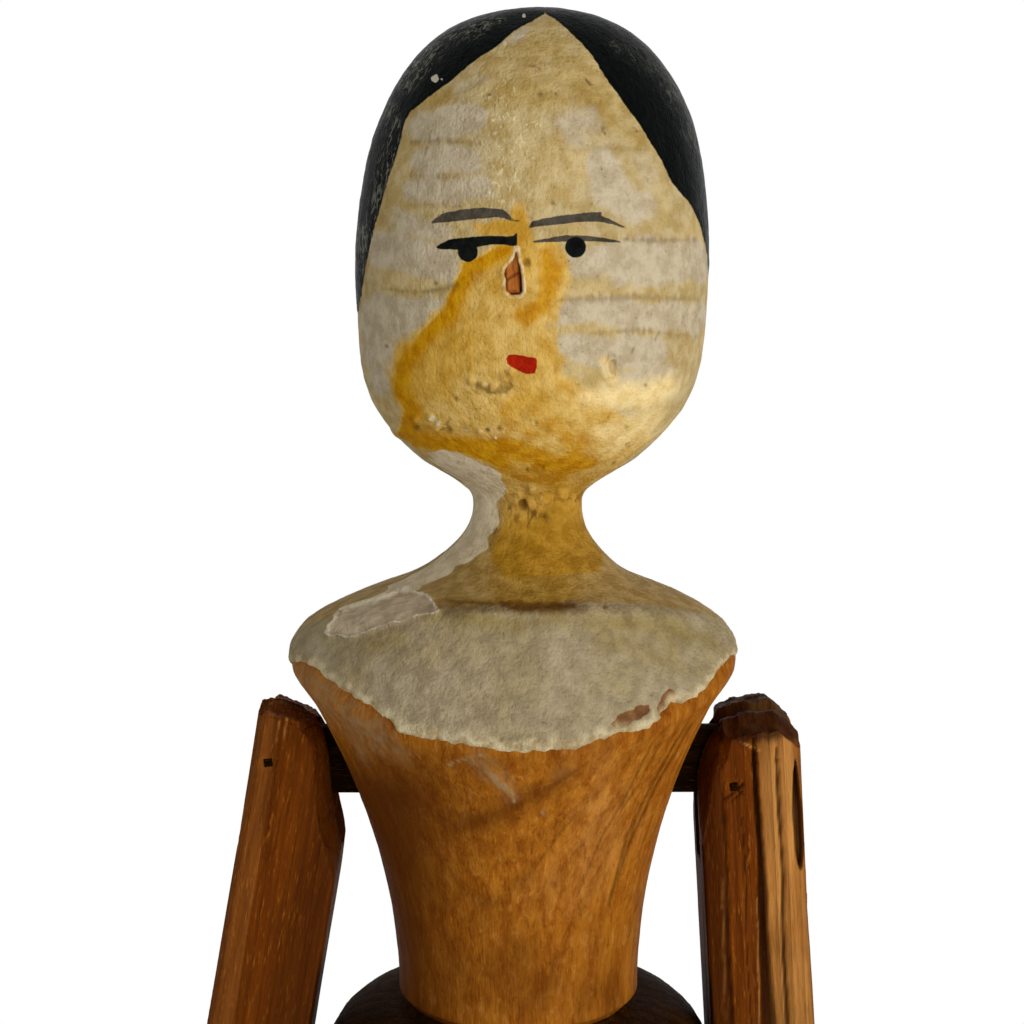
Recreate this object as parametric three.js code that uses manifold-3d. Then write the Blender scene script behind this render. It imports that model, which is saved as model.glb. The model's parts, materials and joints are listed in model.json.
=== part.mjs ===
// Jointed peg-wooden doll. Millimetres, +Z up, face towards -Y, standing on z = 0.
// Left and right are the doll's own sides, so its left arm is at +X.
import * as THREE from "three";
import { mergeVertices } from "three/addons/utils/BufferGeometryUtils.js";
import Module from "manifold-3d";

const wasm = await Module();
wasm.setup();

// Heights, stacked from the floor: knee, hip, waist, shoulder rim, neck and crown
const SHIN_LENGTH = 93;
const THIGH_LENGTH = 84;
const HIP_RISE = 23;
const TORSO_HEIGHT = 37.7;
const NECK_RISE = 15.8;
const HEAD_HEIGHT = 51.5;

// The turned billet: head, neck, torso and hips in one piece
const HEAD_RADIUS = 18.3;
const CROWN_HEIGHT = 28;
const CROWN_POWER = 2.5;
const NECK_RADIUS = 5.7;
const SHOULDER_RADIUS = 23.8;
const WAIST_RADIUS = 13.1;
const WAIST_GROOVE = 0.7;
const HIP_RADIUS = 21;
const HIP_WIDEST = 16.5;
const HIP_CROWN_DROP = 0.6;
const HIP_END_RADIUS = 16.5;
const TURNED_SIDES = 36;

// The billet wandered in the lathe: the centre's x at each height
const HIP_OFFSET = 0.35;
const WAIST_OFFSET = 0.7;
const SHOULDER_OFFSET = 0.15;
const NECK_OFFSET = 1.6;
const HEAD_OFFSET = 2.1;
const CROWN_OFFSET = 2.6;

// Chest and back, pared off the shoulders with a shallow sloping cut
const BUST_RISE = 2.3;
const BUST_DEPTH = 17.1;
const BUST_SLOPE = 25;
const BUST_CURVE = 26.3;
const BUST_REACH = 12;

// Hip block, flattened front and back and slotted for two legs
const HIP_FLAT = 11;
const HIP_ROUNDING = 11;
const LEG_SPACING = 18.8;
const LEG_TENON = 5.4;
const LEG_TENON_RADIUS = 7;
const HIP_PIN_RADIUS = 1.4;

// Nose: a wedge let into the face
const NOSE_X = 0.05;
const NOSE_DROP = -1.1;
const NOSE_POCKET_WIDTH = 2.2;
const NOSE_POCKET_HEIGHT = 4.8;
const NOSE_POCKET_DEPTH = 3.2;
const NOSE_PROUD = 0.5;

// Shoulder rod: one dowel through the torso, its ends flattened into tongues
const ROD_DROP = 11.7;
const ROD_RADIUS = 3.8;
const TONGUE_THICKNESS = 3.2;
const TONGUE_START = 3.4;

// Arms. Each one's pin, lean and top are its own, as a knife left them
const ARM_DEPTH = 10.6;
const ARM_LENGTH = 48;
const ARM_SLOT_DEPTH = 9.3;
const ARM_PIN_RADIUS = 0.8;
const ARMS = {
  right: {
    side: -1, pinReach: 7.9, pinRise: 0.8, lean: 9.7, pinToInner: 9.1, topWidth: 11.1, endWidth: 11.8,
    top: 4.9, topSlope: 9.7, tongueEnd: 1.55, outerNick: 0.3, paring: 13.8, paringTilt: 27, paringTwist: 19,
    lift: 90,
  },
  left: {
    side: 1, pinReach: 5.1, pinRise: -1.8, lean: 3.6, pinToInner: 3.75, topWidth: 11.1, endWidth: 11.8,
    top: 7.4, topSlope: 3.6, tongueEnd: 3.6, outerNick: 2.2, paring: 9, paringTilt: 31, paringTwist: 13,
    lift: 16,
  },
};
const ARM_CHAMFER = 0.8;

// Elbows and forearms
const ELBOW_TENON = 3.6;
const ELBOW_BEND = 110;
const FOREARM_LENGTH = 36;
const FOREARM_DEPTH = 9.6;
const WRIST_WIDTH = 5.6;
const WRIST_DEPTH = 6.2;
const HAND_LENGTH = 18;
const HAND_WIDTH = 8.6;
const HAND_THICKNESS = 3.4;

// Legs
const THIGH_WIDTH = 15;
const THIGH_DEPTH = 14;
const KNEE_WIDTH = 10.8;
const KNEE_DEPTH = 10.6;
const KNEE_TENON = 4;
const KNEE_BEND = 110;
const KNEE_PIN_RADIUS = 1;
const ANKLE_WIDTH = 7;
const ANKLE_DEPTH = 7.6;
const FOOT_LENGTH = 24;
const FOOT_WIDTH = 10;
const FOOT_HEIGHT = 9;
const HEEL_BACK = 7.5;
const LEG_CHAMFER = 2;

// Clearance between mating pieces
const GAP = 0.3;

// Levels worked out from the heights
const kneeZ = SHIN_LENGTH;
const hipZ = kneeZ + THIGH_LENGTH;
const waistZ = hipZ + HIP_RISE;
const shoulderZ = waistZ + TORSO_HEIGHT;
const neckZ = shoulderZ + NECK_RISE;
const crownZ = neckZ + HEAD_HEIGHT;
const faceZ = crownZ - CROWN_HEIGHT;
const rodZ = shoulderZ - ROD_DROP;
const radians = THREE.MathUtils.degToRad;

// Solids and booleans

function solid(geometry) {
  const bare = new THREE.BufferGeometry();
  bare.setAttribute("position", geometry.getAttribute("position"));
  bare.setIndex(geometry.index);
  const merged = mergeVertices(bare, 1e-4);
  const corners = merged.index.array;
  const faces = [];
  for (let i = 0; i < corners.length; i += 3) {
    const [a, b, c] = corners.slice(i, i + 3);
    if (a !== b && b !== c && c !== a) {
      faces.push(a, b, c);
    }
  }
  const vertProperties = merged.attributes.position.array;
  return new wasm.Manifold(new wasm.Mesh({ numProp: 3, vertProperties, triVerts: new Uint32Array(faces) }));
}

function geometryOf(body) {
  const mesh = body.getMesh();
  const geometry = new THREE.BufferGeometry();
  geometry.setAttribute("position", new THREE.BufferAttribute(mesh.vertProperties, 3));
  geometry.setIndex(new THREE.BufferAttribute(mesh.triVerts, 1));
  const flat = geometry.toNonIndexed();
  flat.computeVertexNormals();
  return flat;
}

function box(width, depth, height, x = 0, y = 0, z = 0) {
  return solid(new THREE.BoxGeometry(width, depth, height).translate(x, y, z));
}

function dowelX(radius, length, x, y, z, sides = 16) {
  const rod = new THREE.CylinderGeometry(radius, radius, length, sides);
  return solid(rod.rotateZ(Math.PI / 2).translate(x, y, z));
}

function dowelY(radius, length, x, y, z, sides = 12) {
  return solid(new THREE.CylinderGeometry(radius, radius, length, sides).translate(x, y, z));
}

// Everything on the side of a plane that its normal points to
function halfSpace(point, normal, size = 80) {
  const block = new THREE.BoxGeometry(size, size, size).translate(size / 2, 0, 0);
  const turn = new THREE.Quaternion().setFromUnitVectors(new THREE.Vector3(1, 0, 0), normal.clone().normalize());
  return solid(block.applyQuaternion(turn).translate(point.x, point.y, point.z));
}

// A solid through rings of points, each ring the same count, closed by flat ends
function loft(rings) {
  const count = rings[0].length;
  const vertices = rings.flat().flatMap((p) => [p.x, p.y, p.z]);
  const ends = [rings[0], rings[rings.length - 1]].map((ring) =>
    ring.reduce((sum, p) => sum.add(p), new THREE.Vector3()).divideScalar(count));
  const first = vertices.length / 3;
  ends.forEach((p) => vertices.push(p.x, p.y, p.z));
  const faces = [];
  for (let i = 0; i < count; i++) {
    const j = (i + 1) % count;
    for (let k = 0; k < rings.length - 1; k++) {
      const low = k * count;
      const high = low + count;
      faces.push(low + i, low + j, high + j, low + i, high + j, high + i);
    }
    const last = (rings.length - 1) * count;
    faces.push(first, j, i, first + 1, last + i, last + j);
  }
  const geometry = new THREE.BufferGeometry();
  geometry.setAttribute("position", new THREE.Float32BufferAttribute(vertices, 3));
  geometry.setIndex(faces);
  return solid(geometry);
}

// A rectangle with whittled corners, counter-clockwise seen from above
function whittled(width, depth, chamfer, x, y, z, slope = 0) {
  const w = width / 2;
  const d = depth / 2;
  const c = Math.min(chamfer, w * 0.6, d * 0.6);
  const corners = [
    [w, c - d], [w, d - c], [w - c, d], [c - w, d], [-w, d - c], [-w, c - d], [c - w, -d], [w - c, -d],
  ];
  return corners.map(([px, py]) => new THREE.Vector3(x + px, y + py, z + px * slope));
}

// The turned outline

// Points from one station to the next, each step a share of the rise and of the change in radius
function between(from, to, steps) {
  return steps.map(([rise, swell]) => new THREE.Vector2(
    THREE.MathUtils.lerp(from.x, to.x, swell),
    THREE.MathUtils.lerp(from.y, to.y, rise),
  ));
}

function upperOutline() {
  const edge = new THREE.Vector2(WAIST_RADIUS, waistZ + WAIST_GROOVE);
  const rim = new THREE.Vector2(SHOULDER_RADIUS, shoulderZ);
  const neck = new THREE.Vector2(NECK_RADIUS, neckZ);
  const temple = new THREE.Vector2(HEAD_RADIUS, faceZ);
  const flare = [0.1, 0.28, 0.46, 0.62, 0.76, 0.87].map((t) => [t, 1.02 * t * t]);
  const slope = [[0.13, 0.03], [0.24, 0.11], [0.38, 0.33], [0.54, 0.67], [0.68, 0.84], [0.84, 0.96]];
  const jaw = [[0.08, 0.03], [0.15, 0.2], [0.24, 0.46], [0.36, 0.69], [0.5, 0.87], [0.68, 0.965]];
  const curve = new THREE.SplineCurve([
    edge, ...between(edge, rim, flare), ...between(edge, rim, [[0.955, 0.965]]),
    rim, ...between(rim, neck, slope), neck, ...between(neck, temple, jaw), temple,
  ]);
  const outline = curve.getPoints(48);
  const crownSteps = 10;
  for (let i = 1; i <= crownSteps; i++) {
    const turn = (i / crownSteps) * Math.PI / 2;
    const radius = HEAD_RADIUS * Math.cos(turn) ** (2 / CROWN_POWER);
    outline.push(new THREE.Vector2(i < crownSteps ? radius : 0, faceZ + CROWN_HEIGHT * Math.sin(turn) ** (2 / CROWN_POWER)));
  }
  return outline;
}

function hipOutline() {
  const outline = [];
  const bulgeSteps = 6;
  const widestZ = hipZ + HIP_WIDEST;
  const grooveRadius = WAIST_RADIUS - WAIST_GROOVE;
  const endZ = hipZ - HIP_ROUNDING;
  for (let i = 0; i < bulgeSteps; i++) {
    const share = i / bulgeSteps;
    const swell = Math.sqrt(1 - (1 - share) ** 2);
    outline.push(new THREE.Vector2(
      THREE.MathUtils.lerp(HIP_END_RADIUS, HIP_RADIUS, swell),
      THREE.MathUtils.lerp(endZ, widestZ, share),
    ));
  }
  for (let i = 0; i <= bulgeSteps; i++) {
    const turn = (i / bulgeSteps) * Math.PI / 2;
    outline.push(new THREE.Vector2(
      THREE.MathUtils.lerp(grooveRadius, HIP_RADIUS, Math.cos(turn)),
      THREE.MathUtils.lerp(widestZ, waistZ - HIP_CROWN_DROP, Math.sin(turn)),
    ));
  }
  outline.push(new THREE.Vector2(grooveRadius, waistZ));
  return outline;
}

const turnedOutline = [new THREE.Vector2(0, hipZ - HIP_ROUNDING), ...hipOutline(), ...upperOutline()];

const offsets = [
  [hipZ, HIP_OFFSET], [waistZ, WAIST_OFFSET], [shoulderZ, SHOULDER_OFFSET], [neckZ, NECK_OFFSET],
  [faceZ, HEAD_OFFSET], [crownZ, CROWN_OFFSET],
];

// Smooth steps from one station's offset to the next
function centreAt(z) {
  for (let i = 1; i < offsets.length; i++) {
    const [z0, x0] = offsets[i - 1];
    const [z1, x1] = offsets[i];
    if (z < z1) {
      return THREE.MathUtils.lerp(x0, x1, THREE.MathUtils.smoothstep(z, z0, z1));
    }
  }
  return CROWN_OFFSET;
}

function radiusAt(z) {
  for (let i = 1; i < turnedOutline.length; i++) {
    const low = turnedOutline[i - 1];
    const high = turnedOutline[i];
    if (z >= low.y && z <= high.y && high.y > low.y) {
      return THREE.MathUtils.mapLinear(z, low.y, high.y, low.x, high.x);
    }
  }
  return 0;
}

// Body

function turnedBillet() {
  const lathe = new THREE.LatheGeometry(turnedOutline, TURNED_SIDES).rotateX(Math.PI / 2);
  const place = lathe.attributes.position;
  for (let i = 0; i < place.count; i++) {
    place.setX(i, place.getX(i) + centreAt(place.getZ(i)));
  }
  return solid(lathe);
}

// What the sloping cut takes off the shoulders: all outside a cone; side is -1 for the chest, 1 for the back
function bustWaste(side) {
  const z = shoulderZ + BUST_RISE;
  const reach = BUST_REACH + 1;
  const spread = reach * Math.tan(radians(BUST_SLOPE));
  const depth = 2 * SHOULDER_RADIUS;
  const block = box(2 * depth, depth, 2 * BUST_REACH, 0, side * depth / 2, z);
  const cone = new THREE.CylinderGeometry(BUST_CURVE - spread, BUST_CURVE + spread, 2 * reach, 72)
    .rotateX(Math.PI / 2)
    .translate(0, side * (BUST_DEPTH - BUST_CURVE), z);
  return block.subtract(solid(cone));
}

// What is sawn and rounded off the hip block, seen from the side
function hipWaste() {
  const shape = new THREE.Shape();
  const top = waistZ + WAIST_GROOVE / 2;
  shape.moveTo(-WAIST_RADIUS, top);
  shape.lineTo(-HIP_FLAT, hipZ + LEG_TENON_RADIUS);
  shape.lineTo(-HIP_FLAT, hipZ);
  shape.absarc(0, hipZ, HIP_ROUNDING, Math.PI, 2 * Math.PI, false);
  shape.lineTo(HIP_FLAT, hipZ + LEG_TENON_RADIUS);
  shape.lineTo(WAIST_RADIUS, top);
  shape.closePath();
  const width = 4 * HIP_RADIUS;
  const kept = new THREE.ExtrudeGeometry(shape, { depth: width, bevelEnabled: false, curveSegments: 16 })
    .rotateX(Math.PI / 2)
    .rotateZ(Math.PI / 2)
    .translate(-width / 2, 0, 0);
  const height = HIP_RISE + HIP_ROUNDING + 2;
  return box(width, width, height, 0, 0, top - height / 2).subtract(solid(kept));
}

function legSlot(side) {
  const top = hipZ + LEG_TENON_RADIUS + GAP;
  const bottom = hipZ - HIP_ROUNDING - 2;
  return box(LEG_TENON + 2 * GAP, 4 * HIP_FLAT, top - bottom, legX(side), 0, (top + bottom) / 2);
}

function legX(side) {
  return HIP_OFFSET + side * LEG_SPACING / 2;
}

// The face is round, so the pocket and the wedge start from its surface beside the centre line
function faceSurface() {
  const z = faceZ - NOSE_DROP;
  return Math.sqrt(radiusAt(z) ** 2 - (NOSE_X - centreAt(z)) ** 2);
}

function nosePocket() {
  const depth = NOSE_POCKET_DEPTH + 4;
  return box(NOSE_POCKET_WIDTH, depth, NOSE_POCKET_HEIGHT, NOSE_X, NOSE_POCKET_DEPTH - faceSurface() - depth / 2, faceZ - NOSE_DROP);
}

function bodySolid() {
  const bores = dowelX(ROD_RADIUS + GAP, 4 * SHOULDER_RADIUS, 0, 0, rodZ, 24)
    .add(dowelX(HIP_PIN_RADIUS + GAP, 4 * HIP_RADIUS, 0, 0, hipZ));
  return turnedBillet()
    .subtract(bustWaste(-1))
    .subtract(bustWaste(1))
    .subtract(hipWaste())
    .subtract(legSlot(-1))
    .subtract(legSlot(1))
    .subtract(nosePocket())
    .subtract(bores);
}

// The wedge narrows outwards and its broken end slopes down
function noseWedge() {
  const deep = NOSE_POCKET_DEPTH - GAP - faceSurface();
  const proud = -faceSurface() - NOSE_PROUD;
  const z = faceZ - NOSE_DROP;
  const width = NOSE_POCKET_WIDTH - 2 * GAP;
  const height = NOSE_POCKET_HEIGHT - 2 * GAP;
  const ring = (w, h, y, drop, tilt) => [[w, h], [-w, h], [-w, -h], [w, -h]].map(([px, pz]) =>
    new THREE.Vector3(NOSE_X + px / 2, y + tilt * pz, z + pz / 2 - drop));
  return loft([
    ring(width, height, deep, 0, 0),
    ring(width * 0.9, height * 0.9, -faceSurface(), 0, 0),
    ring(width * 0.5, height * 0.6, proud, 0.3, 0.08),
  ]);
}

// Shoulder rod and arm pins

function armPin(arm) {
  return new THREE.Vector3(centreAt(rodZ) + arm.side * (radiusAt(rodZ) + arm.pinReach), 0, rodZ + arm.pinRise);
}

function tongueTip(arm) {
  return armPin(arm).x + arm.side * arm.tongueEnd;
}

function shoulderRod() {
  const from = tongueTip(ARMS.right);
  const to = tongueTip(ARMS.left);
  let rod = dowelX(ROD_RADIUS, to - from, (from + to) / 2, 0, rodZ, 24);
  for (const arm of Object.values(ARMS)) {
    const start = centreAt(rodZ) + arm.side * (radiusAt(rodZ) - TONGUE_START);
    const length = Math.abs(tongueTip(arm) - start) + 2;
    for (const face of [-1, 1]) {
      const cheek = box(length, ROD_RADIUS, 3 * ROD_RADIUS, start + arm.side * length / 2,
        face * (TONGUE_THICKNESS + ROD_RADIUS) / 2, rodZ);
      rod = rod.subtract(cheek);
    }
    const pin = armPin(arm);
    rod = rod.subtract(dowelY(ARM_PIN_RADIUS + GAP, 3 * ROD_RADIUS, pin.x, 0, pin.z));
  }
  return rod;
}

// Upper arms, each in its own frame: the pin at the origin and the elbow straight below

// Inner is the side towards the body
function armCentre(arm, width) {
  return -arm.side * (arm.pinToInner - width / 2);
}

// The half-circle of a fork or tenon about its pin, square on the side that stops the bend
function knuckle(radius, width, x, stopSide) {
  const half = dowelX(radius, width, x, 0, 0, 24);
  return half.add(box(width, radius, radius, x, stopSide * radius / 2, -radius / 2));
}

// A fork's ends: the knuckle's outline, slotted for the tenon and bored for the pin
function forked(limb, width, depth, tenon, x, z, pinRadius, stopSide) {
  const end = 2 * depth;
  const below = box(4 * width, 4 * depth, end, x, 0, z - end / 2)
    .subtract(knuckle(depth / 2, 4 * width, x, stopSide).translate([0, 0, z]));
  const slotTop = depth / 2 + GAP;
  const slot = box(tenon + 2 * GAP, 4 * depth, end + slotTop, x, 0, z + (slotTop - end) / 2);
  return limb.subtract(below).subtract(slot).subtract(dowelX(pinRadius + GAP, 4 * width, x, 0, z, 12));
}

// A tongue and the shoulder under it, cut back on the bending side so that the limb folds past square
function tenoned(limb, width, depth, tenon, pinRadius, stopSide, bend) {
  const shoulder = depth / 2 + GAP;
  const slant = radians(bend - 90);
  const slantFace = new THREE.Vector3(0, -stopSide * Math.sin(slant), Math.cos(slant));
  const forkFace = new THREE.Vector3(0, -stopSide * Math.cos(slant), -Math.sin(slant));
  const lug = depth / 2 - GAP;
  const tongue = dowelX(lug, tenon, 0, 0, 0, 24)
    .add(box(tenon, 1.8 * lug, shoulder + 3, 0, 0, -(shoulder + 3) / 2))
    .subtract(halfSpace(forkFace.clone().multiplyScalar(depth / 2), forkFace));
  return limb
    .subtract(halfSpace(new THREE.Vector3(0, 0, -shoulder), new THREE.Vector3(0, 0, 1)))
    .subtract(halfSpace(slantFace.clone().multiplyScalar(-shoulder), slantFace))
    .add(tongue)
    .subtract(dowelX(pinRadius + GAP, 4 * width, 0, 0, 0, 12));
}

function upperArm(arm) {
  const slope = arm.side * Math.tan(radians(arm.topSlope));
  const topX = armCentre(arm, arm.topWidth);
  const endX = armCentre(arm, arm.endWidth);
  let limb = loft([
    whittled(arm.endWidth, ARM_DEPTH, ARM_CHAMFER, endX, 0, -ARM_LENGTH - ARM_DEPTH),
    whittled(arm.topWidth, ARM_DEPTH, ARM_CHAMFER, topX, 0, -ARM_SLOT_DEPTH),
    whittled(arm.topWidth, ARM_DEPTH, ARM_CHAMFER, topX, 0, arm.top, slope),
  ]);
  // the slot that takes the rod's tongue, open at the top and both sides
  const slotHeight = ARM_SLOT_DEPTH + 3 * arm.top;
  limb = limb.subtract(box(60, TONGUE_THICKNESS + 2 * GAP, slotHeight, 0, 0, slotHeight / 2 - ARM_SLOT_DEPTH));
  limb = limb.subtract(armTopWaste(arm));
  limb = limb.subtract(dowelY(ARM_PIN_RADIUS + GAP, 4 * ARM_DEPTH, 0, 0, 0));
  // two knife facets on the inner edges, which let the arm swing past the flare of the shoulders
  const inner = -arm.side * arm.pinToInner;
  for (const face of [-1, 1]) {
    const normal = new THREE.Vector3(
      -arm.side, face * Math.tan(radians(arm.paringTilt)), Math.tan(radians(arm.paringTwist)));
    limb = limb.subtract(halfSpace(new THREE.Vector3(inner, face * ARM_DEPTH / 2, -arm.paring), normal));
  }
  // the outer corner of the top, knocked off
  const outer = inner + arm.side * arm.topWidth;
  limb = limb.subtract(halfSpace(
    new THREE.Vector3(outer - arm.side * arm.outerNick, 0, arm.top), new THREE.Vector3(arm.side, 0, 1)));
  return forked(limb, arm.endWidth, ARM_DEPTH, ELBOW_TENON, endX, -ARM_LENGTH, ARM_PIN_RADIUS, 1);
}

// How close the turned surface comes to the pin while the arm lifts from one bearing to another
function roomAbout(arm, lowest, highest) {
  const pin = armPin(arm);
  let room = 4 * SHOULDER_RADIUS;
  for (const point of turnedOutline) {
    const along = arm.side * (pin.x - centreAt(point.y)) - point.x;
    const up = point.y - pin.z;
    const bearing = THREE.MathUtils.radToDeg(Math.atan2(up, along));
    if (bearing >= lowest && bearing <= highest) {
      room = Math.min(room, Math.hypot(along, up));
    }
  }
  return room - GAP;
}

// The top's inner corner, pared round the pin so that the arm lifts without meeting the shoulder
function armTopWaste(arm) {
  const step = 10;
  const rim = [];
  for (let bearing = 20; bearing <= 100; bearing += step) {
    const room = roomAbout(arm, bearing - arm.lift - step, bearing + step) - 0.15;
    const seen = radians(bearing + arm.lean);
    rim.push(new THREE.Vector2(-arm.side * room * Math.cos(seen), room * Math.sin(seen)));
  }
  const shape = new THREE.Shape(rim);
  const far = 30;
  shape.lineTo(rim[rim.length - 1].x, far);
  shape.lineTo(-arm.side * far, far);
  shape.lineTo(-arm.side * far, -far / 3);
  shape.closePath();
  return solid(new THREE.ExtrudeGeometry(shape, { depth: 4 * ARM_DEPTH, bevelEnabled: false })
    .rotateX(Math.PI / 2)
    .translate(0, 2 * ARM_DEPTH, 0));
}

// Forearm and its spoon-shaped hand, in one piece: the elbow pin at the origin
function forearm(arm) {
  const wristZ = -FOREARM_LENGTH;
  const tipZ = wristZ - HAND_LENGTH;
  const hand = (share, width, thickness, bow) =>
    whittled(thickness, width, 1.2, 0, bow, THREE.MathUtils.lerp(wristZ, tipZ, share));
  const limb = loft([
    hand(1, HAND_WIDTH * 0.45, HAND_THICKNESS * 0.6, -0.6),
    hand(0.9, HAND_WIDTH * 0.78, HAND_THICKNESS * 0.85, -0.4),
    hand(0.62, HAND_WIDTH, HAND_THICKNESS, 0),
    hand(0.28, HAND_WIDTH * 0.86, HAND_THICKNESS * 1.2, 0),
    whittled(WRIST_WIDTH, WRIST_DEPTH, 1.3, 0, 0, wristZ),
    whittled(arm.endWidth * 0.88, FOREARM_DEPTH, 1.5, 0, 0, wristZ * 0.4),
    whittled(arm.endWidth * 0.92, FOREARM_DEPTH, 1.4, 0, 0, ARM_DEPTH),
  ]);
  return tenoned(limb, arm.endWidth, ARM_DEPTH, ELBOW_TENON, ARM_PIN_RADIUS, 1, ELBOW_BEND);
}

// Legs, each in its own frame: the pin at the origin

function thigh() {
  const shoulder = HIP_ROUNDING + GAP + 0.05;
  const end = -THIGH_LENGTH - KNEE_DEPTH;
  const limb = loft([
    whittled(KNEE_WIDTH, KNEE_DEPTH, LEG_CHAMFER, 0, 0, end),
    whittled(KNEE_WIDTH, KNEE_DEPTH, LEG_CHAMFER, 0, 0, -THIGH_LENGTH + KNEE_DEPTH / 2),
    whittled(THIGH_WIDTH * 0.97, THIGH_DEPTH, LEG_CHAMFER * 1.6, 0, 0, -THIGH_LENGTH * 0.45),
    whittled(THIGH_WIDTH, THIGH_DEPTH, LEG_CHAMFER * 1.6, 0, 0, -shoulder),
  ]);
  const tenonDepth = 2 * LEG_TENON_RADIUS;
  const tenon = dowelX(LEG_TENON_RADIUS - GAP, LEG_TENON, 0, 0, 0, 24)
    .add(box(LEG_TENON, tenonDepth * 0.9, shoulder + 2, 0, 0, -shoulder / 2 - 1));
  const whole = limb.add(tenon).subtract(dowelX(HIP_PIN_RADIUS + GAP, 4 * THIGH_WIDTH, 0, 0, 0));
  return forked(whole, KNEE_WIDTH, KNEE_DEPTH, KNEE_TENON, 0, -THIGH_LENGTH, KNEE_PIN_RADIUS, -1);
}

// The painted slipper: a side view and a sole outline, each extruded and crossed
function foot() {
  const toe = HEEL_BACK - FOOT_LENGTH;
  const side = new THREE.Shape();
  side.moveTo(HEEL_BACK, 0);
  side.lineTo(HEEL_BACK, FOOT_HEIGHT * 0.45);
  side.quadraticCurveTo(HEEL_BACK - 0.6, FOOT_HEIGHT, ANKLE_DEPTH / 2, FOOT_HEIGHT + 3);
  side.lineTo(-ANKLE_DEPTH / 2, FOOT_HEIGHT + 3);
  side.quadraticCurveTo(-ANKLE_DEPTH / 2 - 2, FOOT_HEIGHT * 0.6, toe + 4, FOOT_HEIGHT * 0.48);
  side.quadraticCurveTo(toe, FOOT_HEIGHT * 0.4, toe, 0.8);
  side.lineTo(toe + 0.6, 0);
  side.closePath();
  const upright = new THREE.ExtrudeGeometry(side, { depth: FOOT_WIDTH, bevelEnabled: false, curveSegments: 8 })
    .rotateX(Math.PI / 2)
    .rotateZ(Math.PI / 2)
    .translate(-FOOT_WIDTH / 2, 0, 0);
  const sole = new THREE.Shape();
  const half = FOOT_WIDTH / 2;
  sole.moveTo(-half * 0.72, HEEL_BACK - 3);
  sole.quadraticCurveTo(0, HEEL_BACK + 2.8, half * 0.72, HEEL_BACK - 3);
  sole.lineTo(half * 0.72, -ANKLE_DEPTH / 2);
  sole.quadraticCurveTo(half * 1.3, toe * 0.72, half * 0.42, toe + 1.4);
  sole.quadraticCurveTo(0, toe - 1.6, -half * 0.42, toe + 1.4);
  sole.quadraticCurveTo(-half * 1.3, toe * 0.72, -half * 0.72, -ANKLE_DEPTH / 2);
  sole.closePath();
  const plan = new THREE.ExtrudeGeometry(sole, { depth: 2 * FOOT_HEIGHT, bevelEnabled: false, curveSegments: 8 });
  return solid(upright).intersect(solid(plan)).translate([0, 0, -SHIN_LENGTH]);
}

function shin() {
  const ankle = FOOT_HEIGHT - SHIN_LENGTH;
  const limb = loft([
    whittled(ANKLE_WIDTH, ANKLE_DEPTH, 1.8, 0, 0, ankle - 2),
    whittled(ANKLE_WIDTH, ANKLE_DEPTH, 1.8, 0, 0, ankle + 3),
    whittled(KNEE_WIDTH * 0.94, KNEE_DEPTH * 0.96, LEG_CHAMFER * 1.2, 0, 0.4, ankle * 0.42),
    whittled(KNEE_WIDTH * 0.94, KNEE_DEPTH * 0.94, LEG_CHAMFER, 0, 0, KNEE_DEPTH),
  ]);
  return tenoned(limb, KNEE_WIDTH, KNEE_DEPTH, KNEE_TENON, KNEE_PIN_RADIUS, -1, KNEE_BEND).add(foot());
}

// Materials

const gesso = new THREE.MeshStandardMaterial({ color: 0xb8a878, roughness: 0.55, metalness: 0 });
const pine = new THREE.MeshStandardMaterial({ color: 0x9a6128, roughness: 0.6, metalness: 0 });
const darkPine = new THREE.MeshStandardMaterial({ color: 0x4a2c14, roughness: 0.65, metalness: 0 });
const slipper = new THREE.MeshStandardMaterial({ color: 0x8c2a1c, roughness: 0.4, metalness: 0 });

function piece(name, body, material) {
  const mesh = new THREE.Mesh(geometryOf(body), material);
  mesh.name = name;
  return mesh;
}

// Assembly

const figure = new THREE.Group();
figure.add(piece("body", bodySolid(), gesso));
figure.add(piece("nose_wedge", noseWedge(), pine));
figure.add(piece("shoulder_rod", shoulderRod(), darkPine));

for (const [name, arm] of Object.entries(ARMS)) {
  const whole = new THREE.Group();
  whole.position.copy(armPin(arm));
  whole.rotation.y = -arm.side * radians(arm.lean);
  whole.add(piece(`${name}_upper_arm`, upperArm(arm), pine));
  whole.add(piece(`${name}_arm_pin`, dowelY(ARM_PIN_RADIUS, ARM_DEPTH, 0, 0, 0, 10), darkPine));
  const elbow = new THREE.Group();
  elbow.position.set(armCentre(arm, arm.endWidth), 0, -ARM_LENGTH);
  elbow.add(piece(`${name}_forearm`, forearm(arm), pine));
  elbow.add(piece(`${name}_elbow_pin`, dowelX(ARM_PIN_RADIUS, arm.endWidth, 0, 0, 0, 10), darkPine));
  whole.add(elbow);
  figure.add(whole);
}

const hipPinLength = 2 * (radiusAt(hipZ) - 0.6);
figure.add(piece("hip_pin", dowelX(HIP_PIN_RADIUS, hipPinLength, HIP_OFFSET, 0, hipZ, 12), darkPine));
for (const [name, side] of [["right", -1], ["left", 1]]) {
  const leg = new THREE.Group();
  leg.position.set(legX(side), 0, hipZ);
  leg.add(piece(`${name}_thigh`, thigh(), pine));
  const knee = new THREE.Group();
  knee.position.set(0, 0, -THIGH_LENGTH);
  knee.add(piece(`${name}_shin`, shin(), slipper));
  knee.add(piece(`${name}_knee_pin`, dowelX(KNEE_PIN_RADIUS, KNEE_WIDTH, 0, 0, 0, 10), darkPine));
  leg.add(knee);
  figure.add(leg);
}

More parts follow.
